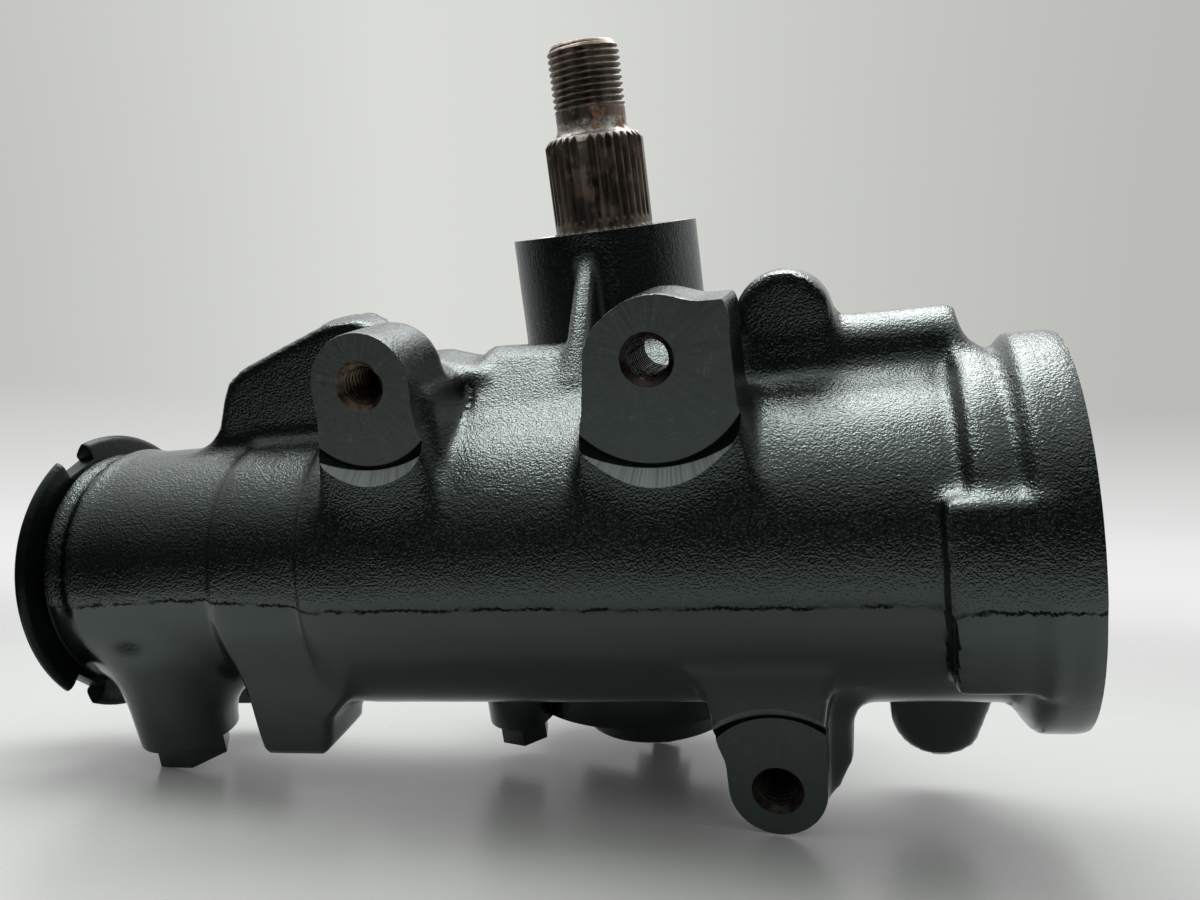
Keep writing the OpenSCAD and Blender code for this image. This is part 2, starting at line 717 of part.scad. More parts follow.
module clamp_screws() {
    color(steel) for (side = [-1, 1]) translate([side * 5, clamp_y, 0]) {
        rod_y(1.4, -2.5, -guide_floor - clamp_y - 0.1);
        rod_y(3, -4, -2.1);
    }
}

// Sector shaft and its bearings
module spline_cuts() {
    groove = 360 / spline_places;
    per_quarter = spline_places / 4;
    for (i = [0:spline_places - 1]) if (i % per_quarter != 0)
        rotate([0, 0, i * groove + master_at]) linear_extrude(spline_len + 2 * bite)
            polygon([[journal_r - spline_depth, 0], [journal_r + bite, -1.45 - bite * 0.8],
                [journal_r + bite, 1.45 + bite * 0.8]]);
}
module sector_shaft() {
    color(steel) on_sector() difference() {
        union() {
            translate([0, 0, -sector_half]) linear_extrude(sector_face) sector_outline();
            rod_z(journal_r, shaft_foot, spline_foot);
            cone_z(journal_r, spline_tip_r, spline_foot - 0.01, spline_top - 1.5);
            cone_z(spline_tip_r, shoulder_top_r, spline_top - 1.5, spline_top + 0.5);
            cone_z(shoulder_top_r, neck_r, spline_top + 0.5, spline_top + 3.5);
            rod_z(neck_r, spline_top + 3, thread_foot + bite);
            rod_z(thread_r, thread_foot, shaft_top - 1.2);
            cone_z(thread_r, thread_r - 1.2, shaft_top - 1.2, shaft_top);
        }
        translate([0, 0, spline_foot - bite]) spline_cuts();
        // T-slot for the head of the lash adjuster
        rod_z(lash_head_r + 0.4, shaft_foot + 3, shaft_foot + 3 + lash_head_h + 0.8);
        rod_z(lash_r + 0.5, shaft_foot - bite, shaft_foot + 4);
        translate([0, -lash_r - 0.5, shaft_foot - bite]) cube([journal_r + 5, 2 * lash_r + 1, 4 + bite]);
        translate([0, -lash_head_r - 0.4, shaft_foot + 3]) cube([journal_r + 5, 2 * lash_head_r + 0.8, lash_head_h + 0.8]);
    }
}
sector_needle_r = (boss_seat_r - journal_r - 1 - 2 * journal_gap) / 2;
module sector_bearing() {
    color(steel) on_sector() {
        ring_z(boss_seat_r - seat_gap, boss_seat_r - 0.9, bearing_floor + 0.1, bearing_top - 0.1);
        for (i = [0:29]) rotate([0, 0, i * 12]) translate([journal_r + journal_gap + sector_needle_r, 0, 0])
            rod_z(sector_needle_r - seat_gap, bearing_floor + 1, bearing_top - 1);
    }
}
module sector_seals() {
    color(rubber) on_sector() {
        ring_z(seal_seat_r - seat_gap, journal_r + journal_gap, bearing_top + 1, bearing_top + 8);
        ring_z(seal_seat_r - seat_gap, journal_r + journal_gap, bearing_top + 10, bearing_top + 17);
    }
}
module sector_seal_washer() {
    color(steel) on_sector() {
        ring_z(seal_seat_r - seat_gap, journal_r + 0.4, bearing_top + 8.05, bearing_top + 9.95);
        ring_z(seal_seat_r - seat_gap, journal_r + 0.4, bearing_top + 17.05, boss_top - 5.05);
    }
}
module sector_seal_ring() {
    color(steel) on_sector() difference() {
        ring_z(seal_seat_r + 1.4, seal_seat_r - 1.8, boss_top - 4.95, boss_top - 3.05);
        translate([0, -3, boss_top - 10]) cube([seal_seat_r + 5, 6, 20]);
    }
}

// Side cover with the lash adjuster
module cover_outline() {
    translate([0, axis_y]) {
        circle(r = cover_r);
        for (turn = [45:90:315]) rotate(turn) translate([bolt_circle_r, 0]) circle(r = ear_r);
    }
}
module side_cover() {
    color(paint) difference() {
        union() {
            translate([0, 0, cover_bottom]) linear_extrude(cover_thick) cover_outline();
            on_sector() {
                rod_z(hub_r, cover_top - bite, hub_top);
                cone_z(dome_r - 3, dome_r, dome_bottom, cover_bottom + bite);
            }
        }
        on_sector() {
            rod_z(bushing_r + seat_gap, shaft_foot - 1, hub_top + bite);
            rod_z(lash_r + seat_gap, dome_bottom - bite, hub_top);
        }
        on_cover_bolts() rod_z(bolt_r + 0.3, cover_bottom - bite, cover_top + bite);
    }
}
module cover_gasket() {
    color(rubber) difference() {
        translate([0, 0, cover_top]) linear_extrude(gasket_thick) cover_outline();
        on_sector() rod_z(chamber_r, cover_top - bite, -cover_face + bite);
        on_cover_bolts() rod_z(bolt_r + 0.3, cover_top - bite, -cover_face + bite);
    }
}
module cover_bushing() {
    color(bronze) on_sector() ring_z(bushing_r, journal_r + journal_gap, shaft_foot, hub_top);
}
module cover_bolts() {
    color(steel) on_cover_bolts() {
        rod_z(bolt_r - seat_gap, cover_bottom - bite, -cover_face + bolt_hole_depth - bite);
        rod_z(bolt_r + 4, cover_bottom - 1.5, cover_bottom);
        translate([0, 0, cover_bottom - 7]) cylinder(r = bolt_r + 3.4, h = 5.5, $fn = 6);
    }
}
module lash_screw() {
    color(steel) on_sector() difference() {
        union() {
            rod_z(lash_r, lash_end, shaft_foot + 3.8);
            rod_z(lash_head_r, shaft_foot + 3.4, shaft_foot + 3.4 + lash_head_h);
        }
        translate([0, 0, lash_end - bite]) cylinder(r = 2.9, h = 5, $fn = 6);
    }
}
module lash_nut() {
    color(steel) on_sector() difference() {
        translate([0, 0, dome_bottom - lash_nut_h]) cylinder(r = lash_r * 1.9, h = lash_nut_h, $fn = 6);
        rod_z(lash_r + seat_gap, dome_bottom - lash_nut_h - bite, dome_bottom + bite);
    }
}

// Ports
module port_plugs() {
    color(paint) on_ports() {
        rod_z(port_r - seat_gap, -port_face - bite, -port_face + 10);
        rod_z(port_r + 3.2, -port_face - 1.6, -port_face);
        translate([0, 0, -port_face - 7.5]) cylinder(r = port_r + 3, h = 6, $fn = 6);
    }
}
module port_seats() {
    color(bronze) on_ports() difference() {
        union() {
            rod_z(port_r - 0.2, -port_face + 11, -port_face + 15.9);
            rod_z(3.9, -port_face + 15, -port_face + 20);
        }
        rod_z(2.2, -port_face + 10, -port_face + 21);
    }
}

translate(-mouth) {
    housing();
    end_plug();
    end_plug_oring();
    end_plug_ring();
    adjuster_plug();
    adjuster_lock_nut();
    adjuster_oring();
    input_bearing();
    input_seal();
    input_seal_ring();
    upper_thrust_bearing();
    lower_thrust_bearing();
    stub_shaft();
    torsion_bar();
    valve_spool();
    valve_sleeve();
    valve_rings();
    worm();
    rack_piston();
    piston_ring();
    rack_plug();
    balls();
    ball_guides();
    guide_clamp();
    clamp_screws();
    sector_shaft();
    sector_bearing();
    sector_seals();
    sector_seal_washer();
    sector_seal_ring();
    side_cover();
    cover_gasket();
    cover_bushing();
    cover_bolts();
    lash_screw();
    lash_nut();
    port_plugs();
    port_seats();
}
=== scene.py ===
import json
import math
import bmesh
import bpy
import numpy as np
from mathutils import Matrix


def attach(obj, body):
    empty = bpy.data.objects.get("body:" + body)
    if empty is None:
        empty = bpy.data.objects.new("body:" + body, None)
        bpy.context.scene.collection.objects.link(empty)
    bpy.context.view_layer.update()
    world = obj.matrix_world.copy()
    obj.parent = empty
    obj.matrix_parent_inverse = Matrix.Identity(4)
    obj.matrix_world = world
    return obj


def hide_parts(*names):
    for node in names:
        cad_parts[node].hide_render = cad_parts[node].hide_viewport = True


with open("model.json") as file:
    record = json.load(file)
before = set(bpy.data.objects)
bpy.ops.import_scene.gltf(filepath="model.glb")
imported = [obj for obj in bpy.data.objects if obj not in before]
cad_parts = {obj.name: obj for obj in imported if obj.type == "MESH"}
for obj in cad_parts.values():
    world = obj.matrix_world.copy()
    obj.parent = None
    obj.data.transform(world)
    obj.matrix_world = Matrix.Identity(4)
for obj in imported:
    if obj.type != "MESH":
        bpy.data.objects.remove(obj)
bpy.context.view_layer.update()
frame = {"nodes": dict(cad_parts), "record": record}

import openvdb
from mathutils import Matrix, Vector

# Sizes are in millimetres about the worm axis and the sector plane, as in the part's source.
# The row frame starts at the thread of the middle mounting hole.
MOUTH = np.array((28.0, -31.7, 56.5))


def row(points):
    return (np.asarray(points, float) - MOUTH) / 1000.0


# Camera, fitted to the photograph
RIGHT = Vector((0.9626, 0.2394, -0.1266)).normalized()
FORWARD = Vector((-0.2626, 0.9393, -0.2206)).normalized()
UP = RIGHT.cross(FORWARD).normalized()
EYE = (76.9, -257.1, 88.6)
camera = bpy.data.objects.new("camera", bpy.data.cameras.new("camera"))
bpy.context.scene.collection.objects.link(camera)
camera.data.sensor_width = 36.0
camera.data.lens = 30.0
camera.data.clip_start = 0.01
camera.matrix_world = Matrix.Translation(row(EYE)) @ Matrix((RIGHT, UP, -FORWARD)).transposed().to_4x4()
bpy.context.scene.camera = camera


# Meshes
def new_piece(name, points, faces, material):
    mesh = bpy.data.meshes.new(name)
    mesh.from_pydata(row(points).tolist(), [], [list(map(int, f)) for f in faces])
    mesh.update()
    mesh.materials.append(material)
    piece = bpy.data.objects.new(name, mesh)
    bpy.context.scene.collection.objects.link(piece)
    return piece


def smooth(piece, degrees):
    piece.data.polygons.foreach_set("use_smooth", np.ones(len(piece.data.polygons), bool))
    piece.data.set_sharp_from_angle(angle=math.radians(degrees))


def settle(piece):
    """Turns a piece's modifiers into its mesh."""
    bpy.context.view_layer.update()
    made = bpy.data.meshes.new_from_object(piece.evaluated_get(bpy.context.evaluated_depsgraph_get()))
    old = piece.data
    piece.modifiers.clear()
    piece.data = made
    made.name = piece.name
    bpy.data.meshes.remove(old)


def placed(u, v, w, axis):
    """Points of a shape turned about w, laid along axis: w is the place along it."""
    return {"x": np.stack((w, u, v), -1), "y": np.stack((u, -w, v), -1), "z": np.stack((u, v, w), -1)}[axis]


def rings_mesh(rings):
    """Faces of a stack of rings of equal count, closed at both ends."""
    n = rings.shape[1]
    i = np.arange(n)
    j = (i + 1) % n
    faces = [list(range(n))[::-1]]
    for k in range(len(rings) - 1):
        faces += np.stack((k * n + i, k * n + j, (k + 1) * n + j, (k + 1) * n + i), -1).tolist()
    faces.append(list(range((len(rings) - 1) * n, len(rings) * n)))
    return rings.reshape(-1, 3), faces


def lathe(profile, axis, count):
    """Rings of points about an axis: profile gives (place along the axis, radius)."""
    angle = np.arange(count) * 2 * math.pi / count
    u, v = np.cos(angle), np.sin(angle)
    return np.stack([placed(r * u, r * v, np.full(count, w), axis) for w, r in profile])


def turned(profile, axis, centre, count):
    """A closed lathe shape, with its profile in order and all its radii above 0."""
    return rings_mesh(lathe(profile, axis, count) + np.asarray(centre, float))


def ringed(section, axis, count):
    """A closed ring, with its profile going all the way round its cross-section."""
    k, i = np.meshgrid(np.arange(len(section)), np.arange(count), indexing="ij")
    k2, j = (k + 1) % len(section), (i + 1) % count
    faces = np.stack((k * count + i, k * count + j, k2 * count + j, k2 * count + i), -1).reshape(-1, 4)
    return lathe(section, axis, count).reshape(-1, 3), faces.tolist()


def merged(shapes):
    points, faces, base = [], [], 0
    for p, f in shapes:
        points.append(p)
        faces += [[base + i for i in one] for one in f]
        base += len(p)
    return np.concatenate(points), faces


def outward(piece):
    """Turns the faces of a closed piece outwards."""
    made = bmesh.new()
    made.from_mesh(piece.data)
    bmesh.ops.recalc_face_normals(made, faces=made.faces)
    made.to_mesh(piece.data)
    made.free()


def keep_largest(piece):
    """Deletes all but the largest connected part of a piece."""
    made = bmesh.new()
    made.from_mesh(piece.data)
    left, groups = set(made.verts), []
    while left:
        start = left.pop()
        group, edge = {start}, [start]
        while edge:
            v = edge.pop()
            for e in v.link_edges:
                o = e.other_vert(v)
                if o in left:
                    left.discard(o)
                    group.add(o)
                    edge.append(o)
        groups.append(group)
    largest = max(groups, key=len)
    for group in groups:
        if group is not largest:
            bmesh.ops.delete(made, geom=list(group), context="VERTS")
    made.to_mesh(piece.data)
    made.free()


def cut(piece, shape, material):
    """Takes a closed shape out of a piece; the faces that it leaves wear the given material."""
    tool = new_piece("tool", *shape, material)
    outward(tool)
    mod = piece.modifiers.new("cut", "BOOLEAN")
    mod.operation, mod.solver, mod.object = "DIFFERENCE", "MANIFOLD", tool
    mod.material_mode = "TRANSFER"
    settle(piece)
    bpy.data.objects.remove(tool)


# Clay: a block of distances in which a casting is shaped. OUTSIDE fills it at first, and
# REACH is how far past its corners and its blend a shape is worked out.
OUTSIDE = 99.0
REACH = 4


def smooth_min(a, b, k):
    h = np.clip(0.5 + 0.5 * (b - a) / k, 0, 1)
    return b + (a - b) * h - k * h * (1 - h)


def step_up(v):
    v = np.clip(v, 0, 1)
    return v * v * (3 - 2 * v)


class Clay:
    def __init__(self, low, high, size):
        self.size = size
        self.axes = [np.arange(a, b + size / 2, size, dtype=np.float32) for a, b in zip(low, high)]
        self.d = np.full([len(a) for a in self.axes], OUTSIDE, np.float32)

    def add(self, low, high, shape, k):
        """Joins a shape that lies between two corners, with a blend of about k."""
        spare = k + REACH
        spans = [slice(*np.searchsorted(a, (lo - spare, hi + spare)))
                 for a, lo, hi in zip(self.axes, low, high)]
        x, y, z = (a[s] for a, s in zip(self.axes, spans))
        room = self.d[tuple(spans)]
        room[...] = smooth_min(room, shape(x[:, None, None], y[None, :, None], z[None, None, :]), k)

    def noise(self, grain, seed):
        """Smooth noise of about unit height with lumps of the given size."""
        rng = np.random.default_rng(seed)
        weights = []
        for a in self.axes:
            t = (a - a[0]) / grain
            i = np.arange(int(t[-1]) + 4)
            far = np.abs(t[:, None] - (i[None, :] - 1))
            weights.append(np.where(far < 1, 2 / 3 - far**2 + far**3 / 2, np.clip(2 - far, 0, None) ** 3 / 6))
        lumps = rng.standard_normal([w.shape[1] for w in weights])
        for w in weights:
            lumps = np.moveaxis(np.tensordot(w, lumps, (1, 0)), 0, 2)
        return (lumps * 2.0).astype(np.float32)

    def mesh(self):
        grid = openvdb.FloatGrid(OUTSIDE)
        grid.copyFromArray(self.d)
        points, quads = grid.convertToQuads(isovalue=0.0)
        return points * self.size + [a[0] for a in self.axes], quads


def outline(u, v, corners):
    """Distance to a closed outline, below 0 inside."""
    corners = np.asarray(corners, np.float32)
    d = np.full(np.broadcast(u, v).shape, 1e9, np.float32)
    inside = np.zeros(d.shape, bool)
    for a, b in zip(corners, np.roll(corners, 1, 0)):
        e, wu, wv = b - a, u - a[0], v - a[1]
        if not e.any():
            continue
        t = np.clip((wu * e[0] + wv * e[1]) / (e @ e), 0, 1)
        d = np.minimum(d, (wu - e[0] * t) ** 2 + (wv - e[1] * t) ** 2)
        if e[1]:
            crosses = ((v >= a[1]) != (v >= b[1])) & (u < a[0] + e[0] * (v - a[1]) / e[1])
            inside ^= crosses
    return np.where(inside, -1, 1) * np.sqrt(d)


def thick(d, across, half, r):
    """A flat shape of distance d given a thickness and edges rounded by r."""
    a, b = d + r, np.abs(across) - half + r
    return np.minimum(np.maximum(a, b), 0) + np.hypot(np.maximum(a, 0), np.maximum(b, 0)) - r


def arc(cu, cv, r, start, end, count):
    t = np.radians(np.linspace(start, end, count))
    return np.stack((cu + r * np.cos(t), cv + r * np.sin(t)), -1).tolist()


def slab_y(clay, corners, y0, y1, r, k, dome=0.0, dome_at=0.0):
    """A plate between two Y, with its outline in X and Z, domed away from one X."""
    c = np.array(corners)

    def shape(x, y, z):
        return thick(outline(x, z, c), y - (y0 + y1) / 2 - dome * (x - dome_at) ** 2, (y1 - y0) / 2, r)
    clay.add((c[:, 0].min(), y0, c[:, 1].min()), (c[:, 0].max(), y1, c[:, 1].max()), shape, k)


def slab_x(clay, corners, x0, x1, r, k):
    """A plate between two X, with its outline in Y and Z."""
    c = np.array(corners)

    def shape(x, y, z):
        return thick(outline(y, z, c), x - (x0 + x1) / 2, (x1 - x0) / 2, r)
    clay.add((x0, c[:, 0].min(), c[:, 1].min()), (x1, c[:, 0].max(), c[:, 1].max()), shape, k)


def post(clay, at, z0, z1, r0, r1, r, k):
    """A round post along Z whose radius runs from r0 to r1."""
    most = max(r0, r1)

    def shape(x, y, z):
        side = np.hypot(x - at[0], y - at[1]) - (r0 + (r1 - r0) * (z - z0) / (z1 - z0))
        return thick(side, z - (z0 + z1) / 2, (z1 - z0) / 2, r)
    clay.add((at[0] - most, at[1] - most, z0), (at[0] + most, at[1] + most, z1), shape, k)


# Places on the casting: lugs by X, Z and cutter radius; ports and bolts by X and Y
AXIS_Y = 57.0
LUGS = {"input_side": (-45.6, 56.5, 21.5), "middle": (28.0, 56.5, 25.5), "lower": (48.5, -54.4, 21.0)}
LUG_FACE = -33.0
LUG_BACK = -10
TAP_CORE_R, TAP_R, TAP_PITCH, SINK_R = 4.95, 5.75, 1.81, 6.5
TAP_DEPTH = {"input_side": 21.0, "middle": 27.5, "lower": 21.0}
PORTS = ((-130.0, -20.0), (-130.0, 20.0))
BOLT_CIRCLE_R = 53
BOLTS = [(BOLT_CIRCLE_R * math.cos(math.radians(a)), AXIS_Y + BOLT_CIRCLE_R * math.sin(math.radians(a)))
         for a in (45, 135, 225, 315)]

# Along X: heights of the parting line, and radii of the casting above and below it
SEAM = ((-154, 1.6), (-101, 2.6), (-99, 2.3), (-74, 0.8), (-70, 0.4), (-40, 0.4), (12, -0.7), (59, -1.4),
        (90, -1.8), (93, -0.8), (121, -1.3))
FLANGE_END = ((119, 49.4), (120.4, 49.1), (121, 48.5), (130, 48.5))
UPPER = ((-170, 36.3), (-153, 36.3), (-151.6, 35.9), (-149.8, 34.9), (-148.4, 35.2), (-147.0, 36.9),
         (-146.0, 37.4), (-144.4, 37.1), (-142, 36.4), (-138, 36.2), (-102, 36.2), (-100.6, 36.0),
         (-99.4, 36.9), (-98, 38.1), (-96, 38.4), (-73, 38.4), (-71.3, 38.9), (-69.6, 41.4), (-68, 42.3),
         (-65, 42.5), (91, 42.5), (93.6, 41.8), (95.2, 42.4), (97.0, 45.4), (98.6, 46.2), (103.4, 46.2),
         (105.4, 45.4), (107.0, 46.0), (109.0, 48.9), (110.6, 49.4), *FLANGE_END)
LOWER = ((-170, 35.6), (-150, 35.8), (-146, 36.2), (-102, 36.2), (-99, 37.6), (-96, 38.2), (-73, 38.4),
         (-70, 40.8), (-66, 41.9), (90, 41.9), (103.5, 42.0), (105.5, 42.6), (108.8, 47.8), (110.8, 49.2),
         (112.5, 49.4), *FLANGE_END)

# Bores, by place along the axis and radius
PISTON_BORE = ((-178, 60), (-154.0, 60), (-153.999, 31), (-152.6, 29.5), (-144, 29.5), (-143.999, 25.5),
               (-80, 25.5), (-79.999, 15), (-70, 15), (-69.999, 38.1), (104, 38.1), (104.001, 40.6),
               (116.5, 40.6), (116.501, 42.4), (118.7, 42.4), (118.701, 40.6), (120.2, 40.6), (121, 41.4),
               (121.001, 62), (135, 62))
SECTOR_BORE = ((-75, 63.6), (-51.5, 63.6), (-51.499, 41), (24, 41), (24.001, 16.5), (29, 16.5), (29.001, 19),
               (59, 19), (59.001, 21.5), (81, 21.5), (81.001, 23), (83, 23), (83.001, 21.5), (85.2, 21.5),
               (86, 22.3), (86.001, 40), (100, 40))
PORT_BORE = ((-70, 20), (-46, 20), (-45.999, 8.6), (-45.2, 7.9), (-30, 7.9), (-29.999, 4), (-6, 4))
BOLT_BORE = ((-60, 4.7), (-38.5, 4.7), (-36, 0.4))

# Cast skin: the step at the parting line, then lumps by size, random seed, height below the line
# and what is added above it
CASTING_GRID = 1.53
FLASH_STEP = 0.4
SKIN = ((7.5, 11, 0.03, 0.03), (2.9, 12, 0.006, 0.010))

# Output shaft: heights and radii of its end
SPLINE_FOOT, SPLINE_TOP, SPLINE_FOOT_R, SPLINE_TOP_R, SPLINE_DEPTH = 86.5, 114.3, 15.9, 15.25, 1.35
NECK_R, NECK_TOP, THREAD_R, THREAD_PITCH, SHAFT_TOP = 10.75, 121.8, 11.1, 1.88, 141.5
MASTER_AT = -90.0


def knots(x, table):
    t = np.array(table, float)
    return np.interp(x, t[:, 0], t[:, 1])


def seam_height(x):
    """Height of the ragged parting line along the casting."""
    rng, height = np.random.default_rng(5), knots(x, SEAM)
    for step, most in ((6.1, 0.28), (1.7, 0.30)):
        places = np.arange(-170, 140, step)
        height = height + np.interp(x, places, rng.uniform(-most, most, len(places)))
    return height


def casting_clay():
    clay = Clay((-160, -56, -86), (126, 111, 93), CASTING_GRID)

    # Valve housing, piston body and end flange
    def body(x, y, z):
        share = step_up((z - knots(x, SEAM) + 5) / 10)
        r = knots(x, LOWER) * (1 - share) + knots(x, UPPER) * share
        return np.hypot(y, z) - r
    clay.add((-160, -50, -50), (126, 50, 50), body, k=0.1)

    # Sector chamber and output boss
    post(clay, (0, AXIS_Y), -58, 38, 47, 47, r=4, k=8)
    post(clay, (0, AXIS_Y), 34, 50, 46, 29, r=3, k=5)
    post(clay, (0, AXIS_Y), 20, 92, 28.9, 28.3, r=1, k=7)
    slab_y(clay, [(-37.6, -34), (37.6, -34), (37.6, 34), (-37.6, 34)], 0, AXIS_Y, r=4, k=10)

    # Oil gallery: a low wall and a ramp on the input side, a rounded rib and its dome on the plug side
    wall_side = [(-1.5, 30), (-1, 55.2), (0, 56.4), (2, 57.0), (15, 58.0), (21, 56), (24, 30)]

    def low_wall(x, y, z):
        return thick(outline(y, z + 0.3 * np.maximum(x + 40, 0), wall_side), x + 37, 13, 1.5)
    clay.add((-50, -2, 30), (-24, 24, 59), low_wall, k=2.5)
    ramp_side = [(-9, 30), (-9, 37.2), (9, 50.9), (13, 52.2), (19, 51.5), (21, 46), (21, 30)]

    def ramp_block(x, y, z):
        return thick(outline(y, z + 0.045 * (x + 20), ramp_side) - 5, x - 9.5, 37.5, 2.5)
    clay.add((-28, -14, 25), (47, 26, 60), ramp_block, k=3)
    slab_x(clay, [(0, 30), (0.3, 50.5), (0.8, 52.2), (2, 53.8), (4.2, 55.4), (7, 56.6), (10, 57.1),
                  (12.5, 56.6), (14.4, 54.5), (15, 30)], 38, 98.8, r=1.8, k=10)
    slab_y(clay, [(44, 38), (45, 57), *arc(57, 58.5, 12.2, 176, 8, 16), (69.5, 50), (72, 38)], 0, 14,
           r=2.2, k=3.5)

    # Web and ear behind the input-side lug
    slab_y(clay, [(-122, 20), (-121, 33), (-114, 38.5), (-109.5, 43.5), (-106, 52), (-103.5, 56.5),
                  (-98.5, 60), (-69, 70.3), (-60, 70.6), (-56, 69), (-50, 62), (-45, 55), (-40, 48),
                  (-40, 20)], -4, 10, r=1.8, k=5)
    slab_y(clay, [(-77, 50), (-75.5, 66), (-72, 70), (-65, 70.8), (-60.5, 68), (-57, 60), (-55, 50)], 2, 20,
           r=1.8, k=3)

    # Input-side lug, its domed pedestal and the shoulder behind it
    slab_y(clay, [(-64, 6), (-60.5, 30), (-58.6, 50), *arc(*LUGS["input_side"][:2], 13.1, 178, 2, 16),
                  (-33, 50), (-31.5, 30), (-27, 6)], -34.6, LUG_BACK, r=1.2, k=5)
    slab_y(clay, [(-64, 6), (-61, 30), (-58.5, 42), (-33, 42), (-31, 30), (-27, 6)], -36.2, LUG_BACK,
           r=2.0, k=3, dome=0.010, dome_at=-44)
    slab_y(clay, [(-50, 6), (-50, 57), (-37, 57), (-30.8, 52), (-29.4, 30), (-27, 6)], -27, -2, r=2, k=3)

    # Middle lug, its domed pedestal and the strip that runs up the output boss
    slab_y(clay, [(2, 6), (8, 28), (10, 38), (13.4, 60), (15.8, 64.4), (20, 67.8), (24, 70), (28.3, 71.1),
                  (32.9, 70.9), (37, 69.5), (40.5, 68.4), (47.3, 68.2), (47.6, 38), (50, 28), (57, 6)],
           -34.6, LUG_BACK, r=1.2, k=5)
    slab_y(clay, [(2, 6), (7, 26), (11, 42), (48, 42), (51, 26), (57, 6)], -36.5, LUG_BACK,
           r=2.0, k=3, dome=0.0105, dome_at=28.5)
    slab_x(clay, [(-2, 30), (-2, 47.5), (3, 53.4), (8, 59), (16, 67.2), (28.4, 79), (33, 79), (33, 30)],
           -2.1, 2.8, r=1.2, k=3)

    # Pad beside the end flange
    def pad(x, y, z):
        block = thick(np.abs(z + 0.7) - 22.6, x - 101.5, 10.5, 2)
        return -smooth_min(-block, 49.3 - np.hypot(y, z), 1.5) + np.maximum(y + 8, 0)
    clay.add((90, -50, -25), (113, -6, 23), pad, k=3)

    # Lower lug with its gusset
    slab_y(clay, [(31, -20), (33.6, -30), (34.4, -41.5), (36.2, -47),
                  *arc(*LUGS["lower"][:2], 12.3, 180, 360, 16), (60.9, -47), (61.6, -36), (64, -20)],
           -36.4, LUG_BACK, r=1.6, k=5)
    slab_y(clay, [(55, -22), (76, -22), (69.4, -32), (67.9, -40), (67.2, -50), (63.5, -57), (56, -62)],
           -27, -11, r=3, k=5)

    # Undrilled lug beside the ports, and the lug under the end plug
    slab_y(clay, [(-98, -6), (-94.4, -43.5), (-92.8, -45), (-75.2, -45), (-74, -43.6), (-71.5, -35),
                  (-65, -28), (-60, -6)], -36.2, -13, r=2, k=5)
    slab_y(clay, [(76, -18), (76.6, -52), *arc(90, -59.5, 13.2, 180, 318, 14), (107, -50), (108, -18)],
           14, 34, r=3, k=6)

    # Port bosses and cover bolt ears
    for at in PORTS:
        post(clay, at, -60, -13, 13.0, 16.8, r=5, k=10)
    for at in BOLTS:
        post(clay, at, -58, -27, 10.5, 10.7, r=3, k=6)

    # Flash step along the parting line, then the cast skin
    x, z = clay.axes[0], clay.axes[2]
    above = step_up((z[None, :] - seam_height(x)[:, None]) / 0.9 + 0.5).astype(np.float32)[:, None, :]
    clay.d -= FLASH_STEP * above
    for lump, seed, below, added in SKIN:
        clay.d -= (below + added * above) * clay.noise(lump, seed)
    return clay


def threaded(at, depth):
    """The room that a tap and countersink take from a lug, going in from its face."""
    count = 72
    angle = np.arange(count) * 2 * math.pi / count
    places = np.concatenate(([-3.0], np.arange(0, depth, TAP_PITCH / 10), [depth]))
    rings = []
    for s in places:
        turn = np.mod(s / TAP_PITCH - angle / (2 * math.pi), 1.0)
        tooth = np.clip(1.5 - 4 * np.abs(turn - 0.5), 0, 1)
        start = step_up((s - 0.6) / 1.2)
        r = TAP_CORE_R + (TAP_R - TAP_CORE_R) * tooth * start
        r = np.maximum(r, SINK_R - max(s, 0.0))
        x, z = at[0] + r * np.cos(angle), at[1] + r * np.sin(angle)
        rings.append(np.stack((x, np.full(count, LUG_FACE + s), z), -1))
    return rings_mesh(np.stack(rings))


def spot_face(r):
    """The room that a cutter takes over a lug: a flat face, a groove round it and a bevel outside."""
    face = -LUG_FACE
    return ((face, 0.5), (face, r - 0.85), (face - 0.4, r - 0.65), (face - 0.4, r - 0.2), (face + 0.1, r),
            (face + 4.6, r + 4.5), (64, r + 4.5))


